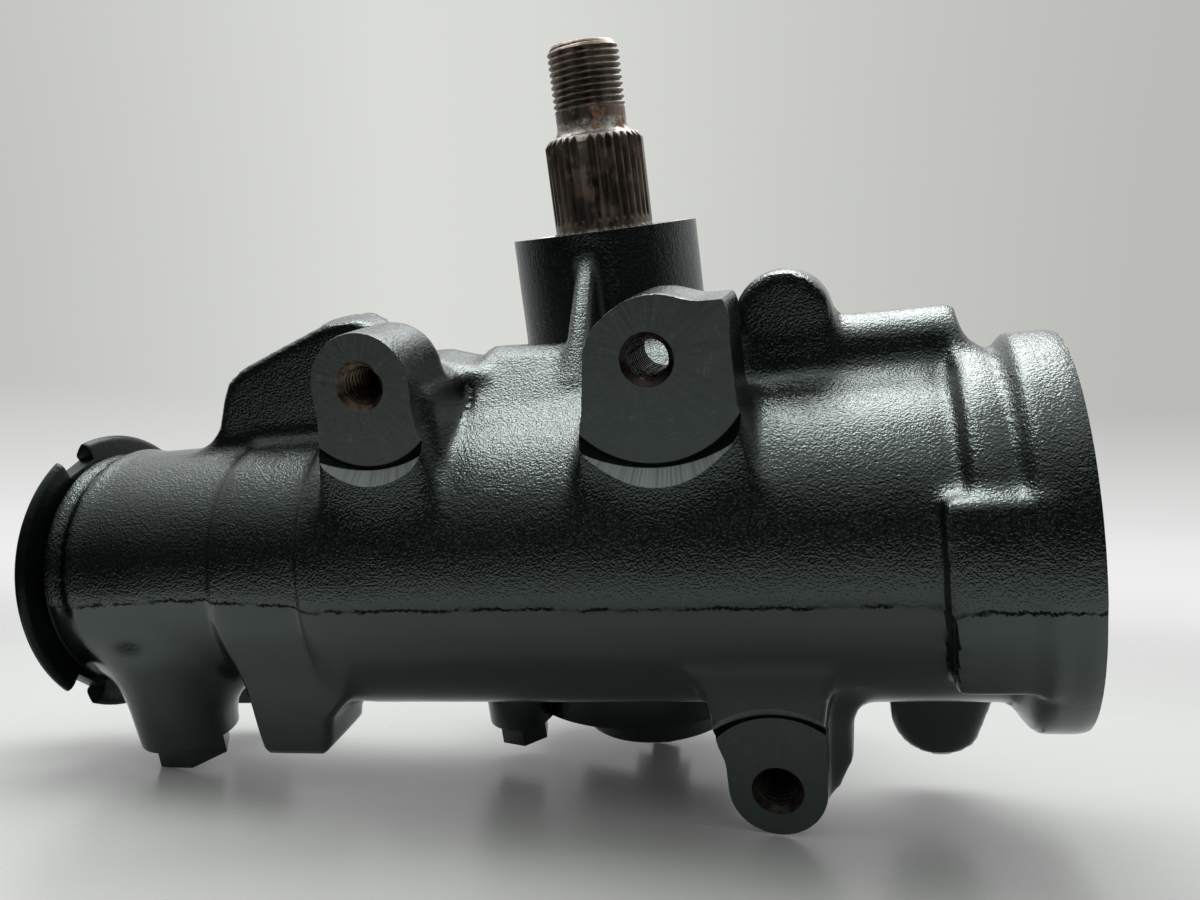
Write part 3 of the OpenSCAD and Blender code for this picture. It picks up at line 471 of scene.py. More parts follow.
# Materials
class Graph:
    """A short way to write a node tree."""

    def __init__(self, name):
        self.material = bpy.data.materials.new(name)
        self.material.use_nodes = True
        self.tree = self.material.node_tree
        self.shader = self.tree.nodes["Principled BSDF"]
        self.spot = self.node("ShaderNodeTexCoord").outputs["Object"]

    def node(self, kind, **settings):
        made = self.tree.nodes.new(kind)
        for key, value in settings.items():
            setattr(made, key, value)
        return made

    def feed(self, socket, value):
        if isinstance(value, bpy.types.NodeSocket):
            self.tree.links.new(value, socket)
        else:
            socket.default_value = value

    def math(self, operation, *values, clamp=False):
        made = self.node("ShaderNodeMath", operation=operation, use_clamp=clamp)
        for socket, value in zip(made.inputs, values):
            self.feed(socket, value)
        return made.outputs[0]

    def scaled(self, factors):
        made = self.node("ShaderNodeVectorMath", operation="MULTIPLY")
        self.feed(made.inputs[0], self.spot)
        made.inputs[1].default_value = factors
        return made.outputs[0]

    def noise(self, scale, detail=3.0, rough=0.55, vector=None, warp=0.0):
        made = self.node("ShaderNodeTexNoise")
        self.feed(made.inputs["Vector"], vector or self.spot)
        made.inputs["Scale"].default_value = scale
        made.inputs["Detail"].default_value = detail
        made.inputs["Roughness"].default_value = rough
        made.inputs["Distortion"].default_value = warp
        return made.outputs["Fac"]

    def mark(self, name):
        return self.node("ShaderNodeAttribute", attribute_name=name).outputs["Fac"]

    def span(self, value, low, high, to_low=0.0, to_high=1.0):
        made = self.node("ShaderNodeMapRange", interpolation_type="SMOOTHSTEP")
        self.feed(made.inputs["Value"], value)
        for key, number in (("From Min", low), ("From Max", high), ("To Min", to_low), ("To Max", to_high)):
            self.feed(made.inputs[key], number)
        return made.outputs["Result"]

    def mix(self, share, one, other):
        made = self.node("ShaderNodeMix", data_type="RGBA")
        self.feed(made.inputs["Factor"], share)
        a = [s for s in made.inputs if s.name == "A" and s.type == "RGBA"][0]
        b = [s for s in made.inputs if s.name == "B" and s.type == "RGBA"][0]
        self.feed(a, one if isinstance(one, bpy.types.NodeSocket) else (*one, 1))
        self.feed(b, other if isinstance(other, bpy.types.NodeSocket) else (*other, 1))
        return [s for s in made.outputs if s.type == "RGBA"][0]

    def parts(self):
        made = self.node("ShaderNodeSeparateXYZ")
        self.feed(made.inputs[0], self.spot)
        return made.outputs

    def bump(self, height, distance, strength, after=None):
        made = self.node("ShaderNodeBump")
        self.feed(made.inputs["Height"], height)
        made.inputs["Distance"].default_value = distance
        self.feed(made.inputs["Strength"], strength)
        if after:
            self.feed(made.inputs["Normal"], after)
        return made.outputs["Normal"]

    def set(self, **values):
        for key, value in values.items():
            self.feed(self.shader.inputs[key.replace("_", " ")], value)
        return self.material


# Paint: its colour, the tint and strength of its gloss, and the depth and strength of its pits
BLACK = (0.0005, 0.0009, 0.0011)
GLOSS_TINT = (0.84, 1.0, 0.96, 1.0)
PAINT_IOR = 1.72
PIT_DEPTH, PITS_BELOW, PITS_ADDED, COVER_SHARE = 0.00046, 0.06, 0.46, 0.6


def seam_marks(g):
    """How much a spot is above the parting line, close above it, and in the painted shadow line under the
    flash step along it.
    """
    height = g.mark("above_seam")
    above = g.span(height, -0.35, 0.35)
    near = g.math("MULTIPLY", above, g.span(height, 20.0, 3.0))
    ragged = g.math("ADD", g.span(g.noise(420.0, 3.0, 0.6), 0.0, 1.0, -0.55, 0.55),
                    g.span(g.noise(1500.0, 2.0), 0.0, 1.0, -0.6, 0.6))
    edge = g.math("ADD", height, ragged)
    # Painted shadow: a ragged dark line along the parting line, where the flash step shades the iron under
    # it.
    seam_shadow = g.math("MULTIPLY", g.span(edge, -0.85, -0.45), g.span(edge, 0.40, 0.0))
    patchy = g.span(g.noise(130.0, 3.0), 0.36, 0.52, 0.25, 1.0)
    return above, near, g.math("MULTIPLY", seam_shadow, patchy)


def cast_paint(name, seam=True):
    """Black paint on rough iron: with a seam, coarse above the parting line and smoother below it."""
    g = Graph(name)
    fine = g.noise(2600.0, 2.0, 0.5)
    grain = g.noise(1600.0, 1.0, 0.5, warp=0.2)
    lumps = g.noise(760.0, 2.0, 0.5)
    broad = g.noise(38.0, 3.0, 0.5)
    sag = g.noise(90.0, 2.0, 0.5)
    colour = g.mix(g.span(broad, 0.3, 0.7), BLACK, (0.0010, 0.0016, 0.0018))
    dust = g.math("MULTIPLY", g.span(fine, 0.60, 0.78), g.span(grain, 0.48, 0.68))
    colour = g.mix(g.math("MULTIPLY", dust, 0.15), colour, (0.022, 0.026, 0.026))
    chips = g.math("MULTIPLY", g.span(g.noise(170.0, 5.0, 0.7), 0.735, 0.755),
                   g.span(g.noise(21.0, 2.0), 0.56, 0.60))
    colour = g.mix(chips, colour, (0.20, 0.15, 0.11))
    cloud = g.math("ADD", g.math("MULTIPLY", grain, 0.6), g.math("MULTIPLY", broad, 0.4))
    rough = g.span(cloud, 0.3, 0.7, 0.16, 0.23)
    pits = g.math("ADD", g.math("MULTIPLY", lumps, 0.4), g.math("ADD", grain, g.math("MULTIPLY", fine, 0.45)))
    if seam:
        above, near, seam_shadow = seam_marks(g)
        # The painted shadow along the seam: rougher paint with less gloss, so that the line looks dark.
        rough = g.math("ADD", rough, g.math("MULTIPLY", seam_shadow, 0.3))
        normal = g.bump(pits, PIT_DEPTH, g.math("MULTIPLY_ADD", above, PITS_ADDED, PITS_BELOW, clamp=True))
        wrinkle = g.noise(850.0, 3.0, 0.6, g.scaled((0.5, 1.0, 1.4)), 0.7)
        normal = g.bump(wrinkle, 0.0006, g.math("MULTIPLY", near, 0.15), normal)
        g.set(Specular_IOR_Level=g.math("MULTIPLY_ADD", seam_shadow, -0.46, 0.5))
    else:
        normal = g.bump(pits, PIT_DEPTH, COVER_SHARE * PITS_ADDED + PITS_BELOW)
    normal = g.bump(sag, 0.0012, 0.10, normal)
    return g.set(Base_Color=colour, Roughness=rough, Normal=normal, IOR=PAINT_IOR, Specular_Tint=GLOSS_TINT)


def smooth_paint(name, worn=0.15, ior=PAINT_IOR):
    """Black paint on turned or pressed steel, with a little orange peel and worn specks."""
    g = Graph(name)
    peel = g.noise(420.0, 3.0, 0.5)
    cloud = g.noise(55.0, 3.0, 0.5)
    colour = g.mix(g.span(cloud, 0.3, 0.7), BLACK, (0.0012, 0.0017, 0.0019))
    specks = g.span(g.noise(260.0, 5.0, 0.75), 0.80 - worn * 0.6, 0.84 - worn * 0.6)
    colour = g.mix(g.math("MULTIPLY", specks, 0.6), colour, (0.06, 0.055, 0.05))
    return g.set(Base_Color=colour, Roughness=g.span(cloud, 0.3, 0.7, 0.24, 0.34), IOR=ior,
                 Specular_Tint=GLOSS_TINT, Normal=g.bump(peel, 0.0004, 0.35))


def milled_paint(name, centre):
    """Thin paint over a spot-faced lug, with the cutter's rings and smears and bare chatter on its bevel."""
    g = Graph(name)
    x, y, z = g.parts()
    cx, face, cz = row((centre[0], LUG_FACE, centre[1]))
    dx, dz = g.math("SUBTRACT", x, float(cx)), g.math("SUBTRACT", z, float(cz))
    far = g.math("SQRT", g.math("ADD", g.math("MULTIPLY", dx, dx), g.math("MULTIPLY", dz, dz)))
    turn = g.math("ARCTAN2", dz, dx)

    def polar(along, around):
        join = g.node("ShaderNodeCombineXYZ")
        g.feed(join.inputs[0], g.math("MULTIPLY", far, along))
        g.feed(join.inputs[1], g.math("MULTIPLY", turn, around))
        return join.outputs[0]
    rings = g.noise(1.0, 3.0, 0.6, polar(1500.0, 2.2))
    smear = g.noise(1.0, 4.0, 0.6, polar(90.0, 9.0))
    chatter = g.noise(1.0, 3.0, 0.6, polar(12.0, 46.0))
    cloud = g.noise(60.0, 3.0, 0.5)
    colour = g.mix(g.span(smear, 0.35, 0.7), (0.0145, 0.0180, 0.0180), (0.0215, 0.0255, 0.0255))
    marks = g.math("MULTIPLY", g.span(rings, 0.56, 0.68), g.span(smear, 0.42, 0.62, 0.0, 0.6))
    colour = g.mix(marks, colour, (0.05, 0.055, 0.055))
    nicks = g.span(g.noise(210.0, 5.0, 0.7, g.scaled((1.0, 1.0, 0.45)), 0.8), 0.66, 0.69)
    colour = g.mix(nicks, colour, (0.004, 0.005, 0.005))
    colour = g.mix(g.math("MULTIPLY", g.span(cloud, 0.6, 0.75), 0.4), colour, (0.010, 0.012, 0.012))
    bevel = g.span(y, float(face) - 0.0001, float(face) - 0.0005)
    streak = g.mix(g.span(chatter, 0.36, 0.60), (0.060, 0.069, 0.066), (0.115, 0.130, 0.123))
    colour = g.mix(bevel, colour, streak)
    # Painted shade in the groove round the spot face, with paint built up there too: a dark band with less
    # gloss, flared out to the sides.
    rim = centre[2] / 1000.0
    flare = g.math("MULTIPLY", g.math("MULTIPLY", dx, dx), 0.0008 / (0.48 * rim) ** 2)
    groove = g.math("MULTIPLY", g.span(far, rim - 0.0010, rim - 0.0008),
                    g.span(g.math("SUBTRACT", far, flare), rim + 0.0003, rim + 0.0001))
    colour = g.mix(groove, colour, (0.0008, 0.0010, 0.0011))
    normal = g.bump(rings, 0.00012, 0.5, g.bump(g.noise(420.0, 3.0), 0.0002, 0.35))
    return g.set(Base_Color=colour, Roughness=g.span(smear, 0.3, 0.7, 0.40, 0.54), Normal=normal, IOR=1.62,
                 Specular_Tint=GLOSS_TINT, Specular_IOR_Level=g.math("MULTIPLY_ADD", groove, -0.45, 0.5))


def bare_metal(name, dark, light, rough, rust, scale, stretch=(1, 1, 1)):
    """Steel, iron or bronze with fine tool marks, stain and, where asked, rust."""
    g = Graph(name)
    marks = g.noise(scale, 4.0, 0.62, g.scaled(stretch))
    cloud = g.noise(70.0, 4.0, 0.6)
    stain = g.math("ADD", g.math("MULTIPLY", marks, 0.6), g.math("MULTIPLY", cloud, 0.4))
    colour = g.mix(g.span(stain, 0.35, 0.65), dark, light)
    roughness = g.span(marks, 0.3, 0.75, rough - 0.08, rough + 0.14)
    if rust:
        amount = g.span(g.noise(150.0, 5.0, 0.7), 0.62 - 0.22 * rust, 0.74 - 0.22 * rust)
        rusty = g.mix(g.noise(600.0, 3.0, 0.6), (0.10, 0.035, 0.012), (0.30, 0.12, 0.04))
        colour = g.mix(amount, colour, rusty)
        roughness = g.math("ADD", roughness, g.math("MULTIPLY", amount, 0.3), clamp=True)
        g.feed(g.shader.inputs["Metallic"], g.math("MULTIPLY_ADD", amount, -0.8, 1.0))
    else:
        g.shader.inputs["Metallic"].default_value = 1.0
    normal = g.bump(g.math("ADD", marks, g.math("MULTIPLY", g.noise(900.0, 2.0), 0.4)), 0.00025, 0.45)
    return g.set(Base_Color=colour, Roughness=roughness, Normal=normal)


def shaft_metal(name):
    """Dark oxidised steel: lighter on the crests as worn metal with a painted highlight, brown in the
    grooves, rusty on the neck.
    """
    g = Graph(name)
    x, y, z = g.parts()
    ax, ay, _ = row((0, AXIS_Y, 0))
    dx, dy = g.math("SUBTRACT", x, float(ax)), g.math("SUBTRACT", y, float(ay))
    far = g.math("SQRT", g.math("ADD", g.math("MULTIPLY", dx, dx), g.math("MULTIPLY", dy, dy)))
    high = g.math("MULTIPLY_ADD", z, 1000.0, float(MOUTH[2]))
    out = g.math("MULTIPLY", far, 1000.0)
    lines = g.noise(300.0, 4.0, 0.6, g.scaled((1.0, 1.0, 0.12)))
    blotch = g.noise(120.0, 5.0, 0.65)
    speck = g.noise(900.0, 3.0, 0.6)
    colour = g.mix(g.span(lines, 0.35, 0.65), (0.088, 0.073, 0.060), (0.215, 0.18, 0.147))
    brown = g.math("MULTIPLY", g.span(blotch, 0.48, 0.66), 0.75)
    colour = g.mix(brown, colour, (0.090, 0.052, 0.036))
    tip = g.math("MULTIPLY_ADD", high, -0.0227, SPLINE_FOOT_R + 0.0227 * SPLINE_FOOT)
    crest = g.span(g.math("SUBTRACT", out, tip), -0.30, -0.02)
    on_thread = g.span(high, NECK_TOP, NECK_TOP + 0.6)
    crest = g.math("ADD", g.math("MULTIPLY", crest, g.span(high, SPLINE_TOP, SPLINE_TOP - 0.5)),
                   g.math("MULTIPLY", on_thread, g.span(out, THREAD_R - 0.30, THREAD_R - 0.05)))
    shoulder = g.math("MULTIPLY", g.span(high, SPLINE_TOP - 1.2, SPLINE_TOP - 0.4),
                      g.span(high, NECK_TOP - 2.2, NECK_TOP - 3.6))
    # Wear and painted highlight: the crests and the shoulder get a lighter colour, for worn steel and for the
    # glints on it.
    wear_and_highlight = g.math("ADD", g.math("MULTIPLY", crest, 0.55), shoulder, clamp=True)
    wear_and_highlight = g.math("MULTIPLY", wear_and_highlight, g.span(speck, 0.30, 0.55))
    colour = g.mix(wear_and_highlight, colour, (0.36, 0.35, 0.32))
    neck = g.math("MULTIPLY", g.span(high, SPLINE_TOP - 0.6, SPLINE_TOP + 1.2),
                  g.span(high, NECK_TOP + 3.0, NECK_TOP - 0.5))
    rust = g.math("MULTIPLY", neck, g.span(g.noise(170.0, 5.0, 0.7), 0.50, 0.60))
    rusty = g.mix(g.span(speck, 0.35, 0.65), (0.060, 0.024, 0.010), (0.19, 0.085, 0.036))
    colour = g.mix(rust, colour, rusty)
    g.feed(g.shader.inputs["Metallic"], g.math("MULTIPLY_ADD", g.math("MAXIMUM", rust, brown), -0.7, 0.95))
    rough = g.math("ADD", g.span(lines, 0.3, 0.7, 0.34, 0.50), g.math("MULTIPLY", rust, 0.3), clamp=True)
    normal = g.bump(g.math("ADD", g.math("MULTIPLY", blotch, 0.8), speck), 0.0003, 0.45)
    return g.set(Base_Color=colour, Roughness=rough, Normal=normal)


def rubber_like(name, dark, light, rough):
    g = Graph(name)
    grain = g.noise(900.0, 3.0, 0.6)
    colour = g.mix(g.span(g.noise(120.0, 3.0), 0.35, 0.65), dark, light)
    return g.set(Base_Color=colour, Roughness=g.span(grain, 0.3, 0.7, rough - 0.06, rough + 0.1),
                 Normal=g.bump(grain, 0.0002, 0.4), IOR=1.5)


PAINT = cast_paint("cast_paint")
COVER_PAINT = cast_paint("cover_paint", seam=False)
STEEL_PAINT = smooth_paint("steel_paint")
NUT_PAINT = smooth_paint("nut_paint", 0.12, 1.33)
MILLED = {n: milled_paint(f"milled_{n}", c) for n, c in LUGS.items()}
BORED = bare_metal("bored_iron", (0.13, 0.13, 0.13), (0.30, 0.30, 0.30), 0.38, 0.1, 420.0, (3, 1, 1))
TAPPED = bare_metal("tapped_iron", (0.018, 0.016, 0.015), (0.065, 0.058, 0.052), 0.42, 0.03, 500.0)
RUSTY_TAP = bare_metal("rusty_tapped_iron", (0.040, 0.033, 0.027), (0.20, 0.155, 0.118), 0.42, 0.20, 500.0)
TAP_METAL = {"input_side": RUSTY_TAP, "middle": TAPPED, "lower": TAPPED}
SHAFT_STEEL = shaft_metal("shaft_steel")
BRIGHT_STEEL = bare_metal("bright_steel", (0.30, 0.30, 0.30), (0.52, 0.52, 0.51), 0.26, 0.0, 380.0, (4, 1, 1))
BRONZE = bare_metal("bearing_bronze", (0.40, 0.27, 0.11), (0.62, 0.46, 0.22), 0.34, 0.0, 300.0)
RUBBER = rubber_like("seal_rubber", (0.006, 0.006, 0.006), (0.016, 0.016, 0.016), 0.55)
BY_SLOT = {"painted_casting": COVER_PAINT, "painted_steel": STEEL_PAINT, "shaft_steel": SHAFT_STEEL,
           "bright_steel": BRIGHT_STEEL, "bearing_bronze": BRONZE, "seal_rubber": RUBBER}
SLOT = {part["node"]: part["material_slot"] for part in frame["record"]["subparts"]}
BODY = {node: body for body, nodes in frame["record"]["behaviour"]["bodies"].items() for node in nodes}


def stands_for(piece, node):
    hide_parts(node)
    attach(piece, BODY[node])


# Housing casting
def mark_seam(piece):
    """Gives each point its height above the parting line, for the paint."""
    spots = np.empty(len(piece.data.vertices) * 3)
    piece.data.vertices.foreach_get("co", spots)
    spots = spots.reshape(-1, 3) * 1000 + MOUTH
    mark = piece.data.attributes.new("above_seam", "FLOAT", "POINT")
    mark.data.foreach_set("value", spots[:, 2] - seam_height(spots[:, 0]))


def housing():
    points, quads = casting_clay().mesh()
    piece = new_piece("gear_casting", points, quads, PAINT)
    keep_largest(piece)
    outward(piece)
    cut(piece, turned(PISTON_BORE, "x", (0, 0, 0), 128), BORED)
    cut(piece, turned(SECTOR_BORE, "z", (0, AXIS_Y, 0), 128), BORED)
    for name, (x, z, r) in LUGS.items():
        cut(piece, turned(spot_face(r), "y", (x, 0, z), 120), MILLED[name])
    for name, (x, z, _) in LUGS.items():
        cut(piece, threaded((x, z), TAP_DEPTH[name]), TAP_METAL[name])
    small = [turned(PORT_BORE, "z", (*at, 0), 64) for at in PORTS]
    small += [turned(BOLT_BORE, "z", (*at, 0), 48) for at in BOLTS]
    cut(piece, merged(small), BORED)
    smooth(piece, 30)
    mark_seam(piece)
    stands_for(piece, "housing")


housing()


# Output shaft
SPLINES, CHAMFER_FOOT, CHAMFER, NECK_FOOT = 36, 112.4, 1.45, 118.0
GROOVE_HALF, GROOVE_SIDE, THREAD_DEPTH = 4.75, 3.95, 1.15


def shaft_end():
    """Splined taper, neck and threaded end as one closed shape."""
    count = SPLINES * 10
    angle = np.arange(count) * 2 * math.pi / count
    pitch = 360 / SPLINES
    place = np.mod(np.degrees(angle) - MASTER_AT + pitch / 2, pitch) - pitch / 2
    quarter = np.abs(np.mod(np.degrees(angle) - MASTER_AT + 45, 90) - 45)
    groove = np.clip((GROOVE_HALF - np.abs(place)) / GROOVE_SIDE, 0, 1) * (quarter > pitch / 2)
    shoulder = SPLINE_TOP_R - CHAMFER
    rings = []
    for z in np.concatenate(([85.0], np.linspace(SPLINE_FOOT + 0.9, 90.5, 6), np.linspace(92, 112, 6),
                             np.linspace(CHAMFER_FOOT, SPLINE_TOP, 8))):
        share = max(0.0, (z - SPLINE_FOOT) / (CHAMFER_FOOT - SPLINE_FOOT))
        tip = SPLINE_FOOT_R + (SPLINE_TOP_R - SPLINE_FOOT_R) * share
        r = tip - SPLINE_DEPTH * groove * step_up((z - SPLINE_FOOT - 0.9) / 2.6)
        most = SPLINE_TOP_R - max(0.0, z - CHAMFER_FOOT) * CHAMFER / (SPLINE_TOP - CHAMFER_FOOT)
        rings.append((z, np.minimum(r, most)))
    for t in np.linspace(0.94, 0.0, 9):
        r = NECK_R + (shoulder - NECK_R) * (1 - math.sqrt(1 - t * t))
        rings.append((NECK_FOOT - (NECK_FOOT - SPLINE_TOP) * t, np.full(count, r)))
    rings.append((NECK_TOP - 0.6, np.full(count, NECK_R)))
    for z in np.arange(NECK_TOP, SHAFT_TOP - 0.25, THREAD_PITCH / (13)):
        crest = 1 - 2 * np.abs(np.mod(z / THREAD_PITCH - angle / (2 * math.pi), 1.0) - 0.5)
        r = THREAD_R - THREAD_DEPTH * (1 - np.clip(crest * 1.12 - 0.04, 0, 1))
        r = NECK_R + (r - NECK_R) * step_up((z - NECK_TOP) / 1.6)
        rings.append((z, np.minimum(r, THREAD_R - 0.1 - max(0.0, z - SHAFT_TOP + 2.1) * 0.75)))
    for below, r in ((0.05, 9.45), (0, 9.25), (0, 2.9), (1.9, 0.5)):
        rings.append((SHAFT_TOP - below, np.full(count, r)))
    return rings_mesh(np.stack([placed(r * np.cos(angle), AXIS_Y + r * np.sin(angle), np.full(count, z), "z")
                                for z, r in rings]))


def copied(node, name, made):
    """A new piece from a solid's mesh, worked on by the given steps."""
    source = frame["nodes"][node]
    work = bmesh.new()
    work.from_mesh(source.data)
    work.transform(source.matrix_world)
    bmesh.ops.remove_doubles(work, verts=work.verts, dist=2e-6)
    made(work)
    mesh = bpy.data.meshes.new(name)
    work.to_mesh(mesh)
    work.free()
    piece = bpy.data.objects.new(name, mesh)
    bpy.context.scene.collection.objects.link(piece)
    return piece


def output_shaft():
    def below_spline(work):
        level = float(row((0, 0, SPLINE_FOOT - 0.3))[2])
        everything = work.verts[:] + work.edges[:] + work.faces[:]
        bmesh.ops.bisect_plane(work, geom=everything, plane_co=(0, 0, level), plane_no=(0, 0, 1),
                               clear_outer=True)
        bmesh.ops.holes_fill(work, edges=[e for e in work.edges if e.is_boundary])
    piece = copied("sector_shaft", "output_shaft", below_spline)
    piece.data.materials.append(SHAFT_STEEL)
    end = new_piece("end", *shaft_end(), SHAFT_STEEL)
    outward(end)
    mod = piece.modifiers.new("join", "BOOLEAN")
    mod.operation, mod.solver, mod.object = "UNION", "MANIFOLD", end
    settle(piece)
    bpy.data.objects.remove(end)
    smooth(piece, 24)
    stands_for(piece, "sector_shaft")


output_shaft()


# Lock nut: a dished ring with a rounded rim and three notches
LOCK_SECTION = ((-154.3, 30.0), (-154.3, 34.2), (-155.5, 35.2), (-155.7, 38.0), (-155.9, 41.0),
                (-156.3, 42.1), (-157.1, 42.8), (-158.0, 42.8), (-159.6, 41.4), (-161.2, 39.6),
                (-161.6, 38.6), (-161.0, 37.2), (-160.0, 34.6), (-161.2, 33.4), (-161.2, 30.0))
NOTCHES_AT = (105, 225, 345)
NOTCH_FLOOR, NOTCH_FLOOR_HALF, NOTCH_MOUTH, NOTCH_MOUTH_HALF = 37.2, 5.6, 60, 6.6


def lock_nut():
    piece = new_piece("adjuster_lock_ring", *ringed(LOCK_SECTION, "x", 144), NUT_PAINT)
    outward(piece)
    boxes = []
    for turn in NOTCHES_AT:
        out = np.array((0, math.cos(math.radians(turn)), math.sin(math.radians(turn))))
        side = np.array((0, -out[2], out[1]))
        inner, mouth = out * NOTCH_FLOOR, out * NOTCH_MOUTH
        ring = np.array((inner - side * NOTCH_FLOOR_HALF, mouth - side * NOTCH_MOUTH_HALF,
                         mouth + side * NOTCH_MOUTH_HALF, inner + side * NOTCH_FLOOR_HALF))
        boxes.append(rings_mesh(np.stack([ring + (x, 0, 0) for x in (-170, -152)])))
    cut(piece, merged(boxes), NUT_PAINT)
    soft = piece.modifiers.new("soft", "BEVEL")
    soft.width, soft.segments, soft.limit_method, soft.angle_limit = 0.0005, 2, "ANGLE", math.radians(45)
    settle(piece)
    smooth(piece, 35)
    stands_for(piece, "adjuster_lock_nut")


lock_nut()


# Painted fittings: the solids with their edges eased
def eased(node, width, material):
    def ease(work):
        bmesh.ops.dissolve_limit(work, angle_limit=math.radians(0.6), verts=work.verts, edges=work.edges)
        sharp = [e for e in work.edges
                 if len(e.link_faces) == 2 and e.calc_face_angle(0.0) > math.radians(25)]
        bmesh.ops.bevel(work, geom=sharp, offset=width / 1000, segments=2, profile=0.6, affect="EDGES",
                        clamp_overlap=True)
    piece = copied(node, node + "_eased", ease)
    piece.data.materials.append(material)
    smooth(piece, 30)
    stands_for(piece, node)


EASED = {"adjuster_plug": 0.5, "end_plug": 0.6, "end_plug_ring": 0.25, "side_cover": 1.2,
         "cover_bolts": 0.5, "lash_nut": 0.5, "lash_screw": 0.4, "port_plugs": 0.6, "stub_shaft": 0.2}
for node, width in EASED.items():
    eased(node, width, BY_SLOT[SLOT[node]])
for node, solid in frame["nodes"].items():
    for place in solid.material_slots:
        place.material = BY_SLOT[SLOT[node]]

# Stage: a pale floor that the gearbox rests on by a port plug, the lower lug and the lash screw
FEET = row([(-126, -30, -53.5), (48, -33, -66.6), (0, 52, -90.5)])
FLOOR_HALF, FLOOR_DROP = 3, 0.0002
floor_up = Vector(np.cross(FEET[1] - FEET[0], FEET[2] - FEET[0])).normalized()
if floor_up.z < 0:
    floor_up = -floor_up


def floor_paint():
    """A pale, slightly glossy floor that fades out to the sides and towards the dark front."""
    g = Graph("floor")
    scuffs = g.span(g.noise(120.0, 3.0, 0.6, g.scaled((1.0, 0.25, 1.0)), 1.5), 0.76, 0.80)
    tone = g.mix(g.noise(3.0, 3.0), (0.335, 0.345, 0.335), (0.360, 0.370, 0.358))
    g.set(Base_Color=g.mix(g.math("MULTIPLY", scuffs, 0.25), tone, (0.17, 0.17, 0.165)),
          Roughness=g.span(g.noise(5.0, 2.0), 0.3, 0.7, 0.22, 0.30), IOR=1.45, Specular_IOR_Level=0.35)
    x, y, _ = g.parts()
    far = g.math("SQRT", g.math("ADD", g.math("MULTIPLY", x, x), g.math("MULTIPLY", y, y)))
    front = g.math("MAXIMUM", g.span(y, -0.20, -0.32), g.span(g.math("ADD", x, y), -0.28, -0.38))
    blend = g.node("ShaderNodeMixShader")
    g.feed(blend.inputs[0], g.math("MAXIMUM", g.span(far, 0.24, 0.80), front))
    g.feed(blend.inputs[1], g.shader.outputs[0])
    g.feed(blend.inputs[2], g.node("ShaderNodeBsdfTransparent").outputs[0])
    g.feed(g.tree.nodes["Material Output"].inputs["Surface"], blend.outputs[0])
    return g.material


floor = bpy.data.objects.new("floor", bpy.data.meshes.new("floor"))
bpy.context.scene.collection.objects.link(floor)
square = [(-1, -1), (1, -1), (1, 1), (-1, 1)]
floor.data.from_pydata([(FLOOR_HALF * x, FLOOR_HALF * y, 0) for x, y in square], [], [(0, 1, 2, 3)])
floor_back = floor_up.cross(Vector((1, 0, 0))).normalized()
floor.matrix_world = (Matrix.Translation(Vector(FEET.mean(0)) - floor_up * FLOOR_DROP)
                      @ Matrix((floor_back.cross(floor_up), floor_back, floor_up)).transposed().to_4x4())
floor.data.materials.append(floor_paint())


# Light: a long panel above and behind, a bright wall behind, a dark room in front
def panel(name, target, distance, one_end, other_end, half_width, radiance):
    """A long soft panel: ways from its target to its two ends, half width in degrees, brightness."""
    ends = [Vector(one_end).normalized(), Vector(other_end).normalized()]
    out = (ends[0] + ends[1]).normalized()
    long = (ends[1] - ends[0]).normalized()
    lamp = bpy.data.lights.new(name, "AREA")
    lamp.shape = "RECTANGLE"
    lamp.size = 2 * distance * math.tan(ends[0].angle(ends[1]) / 2)
    lamp.size_y = 2 * distance * math.tan(math.radians(half_width))
    lamp.energy = radiance * math.pi * lamp.size * lamp.size_y
    made = bpy.data.objects.new(name, lamp)
    bpy.context.scene.collection.objects.link(made)
    made.matrix_world = (Matrix.Translation(Vector(target) + out * distance)
                         @ Matrix((long, out.cross(long), out)).transposed().to_4x4())


panel("top_panel", row((0, 0, 40)), distance=0.85, one_end=(-0.41, 0.16, 0.898),
      other_end=(0.36, 0.75, 0.555), half_width=15.5, radiance=8.4)
world = bpy.data.worlds.new("room")
bpy.context.scene.world = world
world.use_nodes = True
tree = world.node_tree
tree.nodes.clear()
new, link = tree.nodes.new, tree.links.new
way = new("ShaderNodeTexCoord").outputs["Generated"]


def along(direction):
    """How far a way of looking goes along a direction, from 0 (against it) to 1."""
    dot = new("ShaderNodeVectorMath")
    dot.operation = "DOT_PRODUCT"
    link(way, dot.inputs[0])
    dot.inputs[1].default_value = direction
    half = new("ShaderNodeMath")
    half.operation = "MULTIPLY_ADD"
    link(dot.outputs["Value"], half.inputs[0])
    half.inputs[1].default_value = half.inputs[2].default_value = 0.5
    return half.outputs[0]


def ramp(value, stops, tint=(1, 1, 1)):
    """Greys that change with a value: stops gives (value, grey) in order."""
    made = new("ShaderNodeValToRGB")
    link(value, made.inputs[0])
    while len(made.color_ramp.elements) < len(stops):
        made.color_ramp.elements.new(0.5)
    for element, (place, grey) in zip(made.color_ramp.elements, stops):
        element.position, element.color = place, (*(grey * t for t in tint), 1)
    return made.outputs[0]


def mixed(one, other, share=None):
    """Two colours blended by a share or, with none given, multiplied."""
    made = new("ShaderNodeMix")
    made.data_type = "RGBA"
    if share is None:
        made.blend_type = "MULTIPLY"
        made.inputs[0].default_value = 1.0
    else:
        link(share, made.inputs[0])
    for socket, colour in zip([s for s in made.inputs if s.type == "RGBA"], (one, other)):
        link(colour, socket)
    return [s for s in made.outputs if s.type == "RGBA"][0]


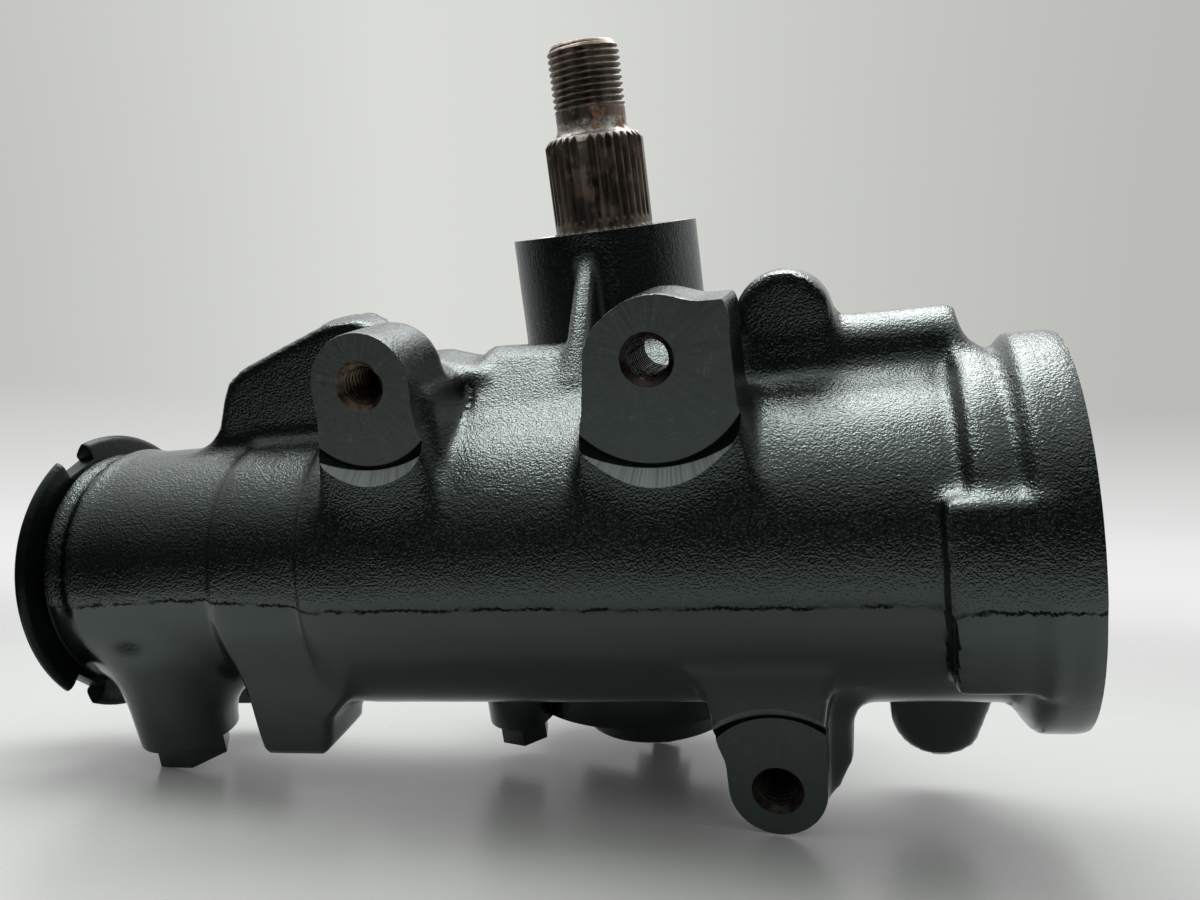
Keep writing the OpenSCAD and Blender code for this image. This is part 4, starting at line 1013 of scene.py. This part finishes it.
def glow(colour, strength=1.0):
    made = new("ShaderNodeBackground")
    if isinstance(colour, tuple):
        made.inputs[0].default_value = (*colour, 1)
    else:
        link(colour, made.inputs[0])
    made.inputs[1].default_value = strength
    return made.outputs[0]


def joined(kind, *values):
    """The shader of a node of the given kind, with its inputs fed in order."""
    made = new(kind)
    for value, socket in zip(values, made.inputs):
        link(value, socket)
    return made.outputs[0]


# What the camera sees: a pale wall, brightest to the left of the shaft, over a bright sweep
WALL = (0.985, 1.0, 0.955)
wall = ramp(along(RIGHT), [(0.0, 0.50), (0.24, 0.545), (0.40, 0.715), (0.47, 0.70), (0.60, 0.59),
                           (0.74, 0.50), (1.0, 0.5)], WALL)
sweep = ramp(along(floor_up), [(0.0, 0.60), (0.42, 0.64), (0.455, 0.80), (0.475, 0.86), (0.50, 0.80),
                               (1.0, 0.74)])
seen = mixed(sweep, wall, ramp(along(floor_up), [(0.492, 0.0), (0.55, 1.0)]))

# What lights the gearbox: a room that is dark in front and bright behind, with a glow round the panel
front_to_back = ramp(along((0, 1, 0)), [(0.0, 0.03), (0.42, 0.035), (0.50, 0.14), (0.68, 0.47),
                                        (0.87, 0.85), (1.0, 0.85)])
low_to_high = ramp(along((0, 0, 1)), [(0.0, 0.6), (0.5, 0.8), (0.6, 1.0), (0.85, 0.8), (1.0, 0.7)])
lit = mixed(front_to_back, low_to_high)
ceiling = ramp(along((0.0, 0.30, 0.95)), [(0.0, 0.0), (0.70, 0.0), (0.82, 0.4), (0.92, 0.95), (1.0, 1.3)])
FILL = 1.0
path = new("ShaderNodeLightPath").outputs
shiny = joined("ShaderNodeAddShader", glow(lit), glow(ceiling))
soft = joined("ShaderNodeAddShader", glow(lit), glow((1.0, 1.0, 1.0), FILL))
unseen = joined("ShaderNodeMixShader", path["Is Diffuse Ray"], shiny, soft)
surface = joined("ShaderNodeMixShader", path["Is Camera Ray"], unseen, glow(seen))
link(surface, new("ShaderNodeOutputWorld").inputs[0])

bpy.context.scene.view_settings.view_transform = "Standard"
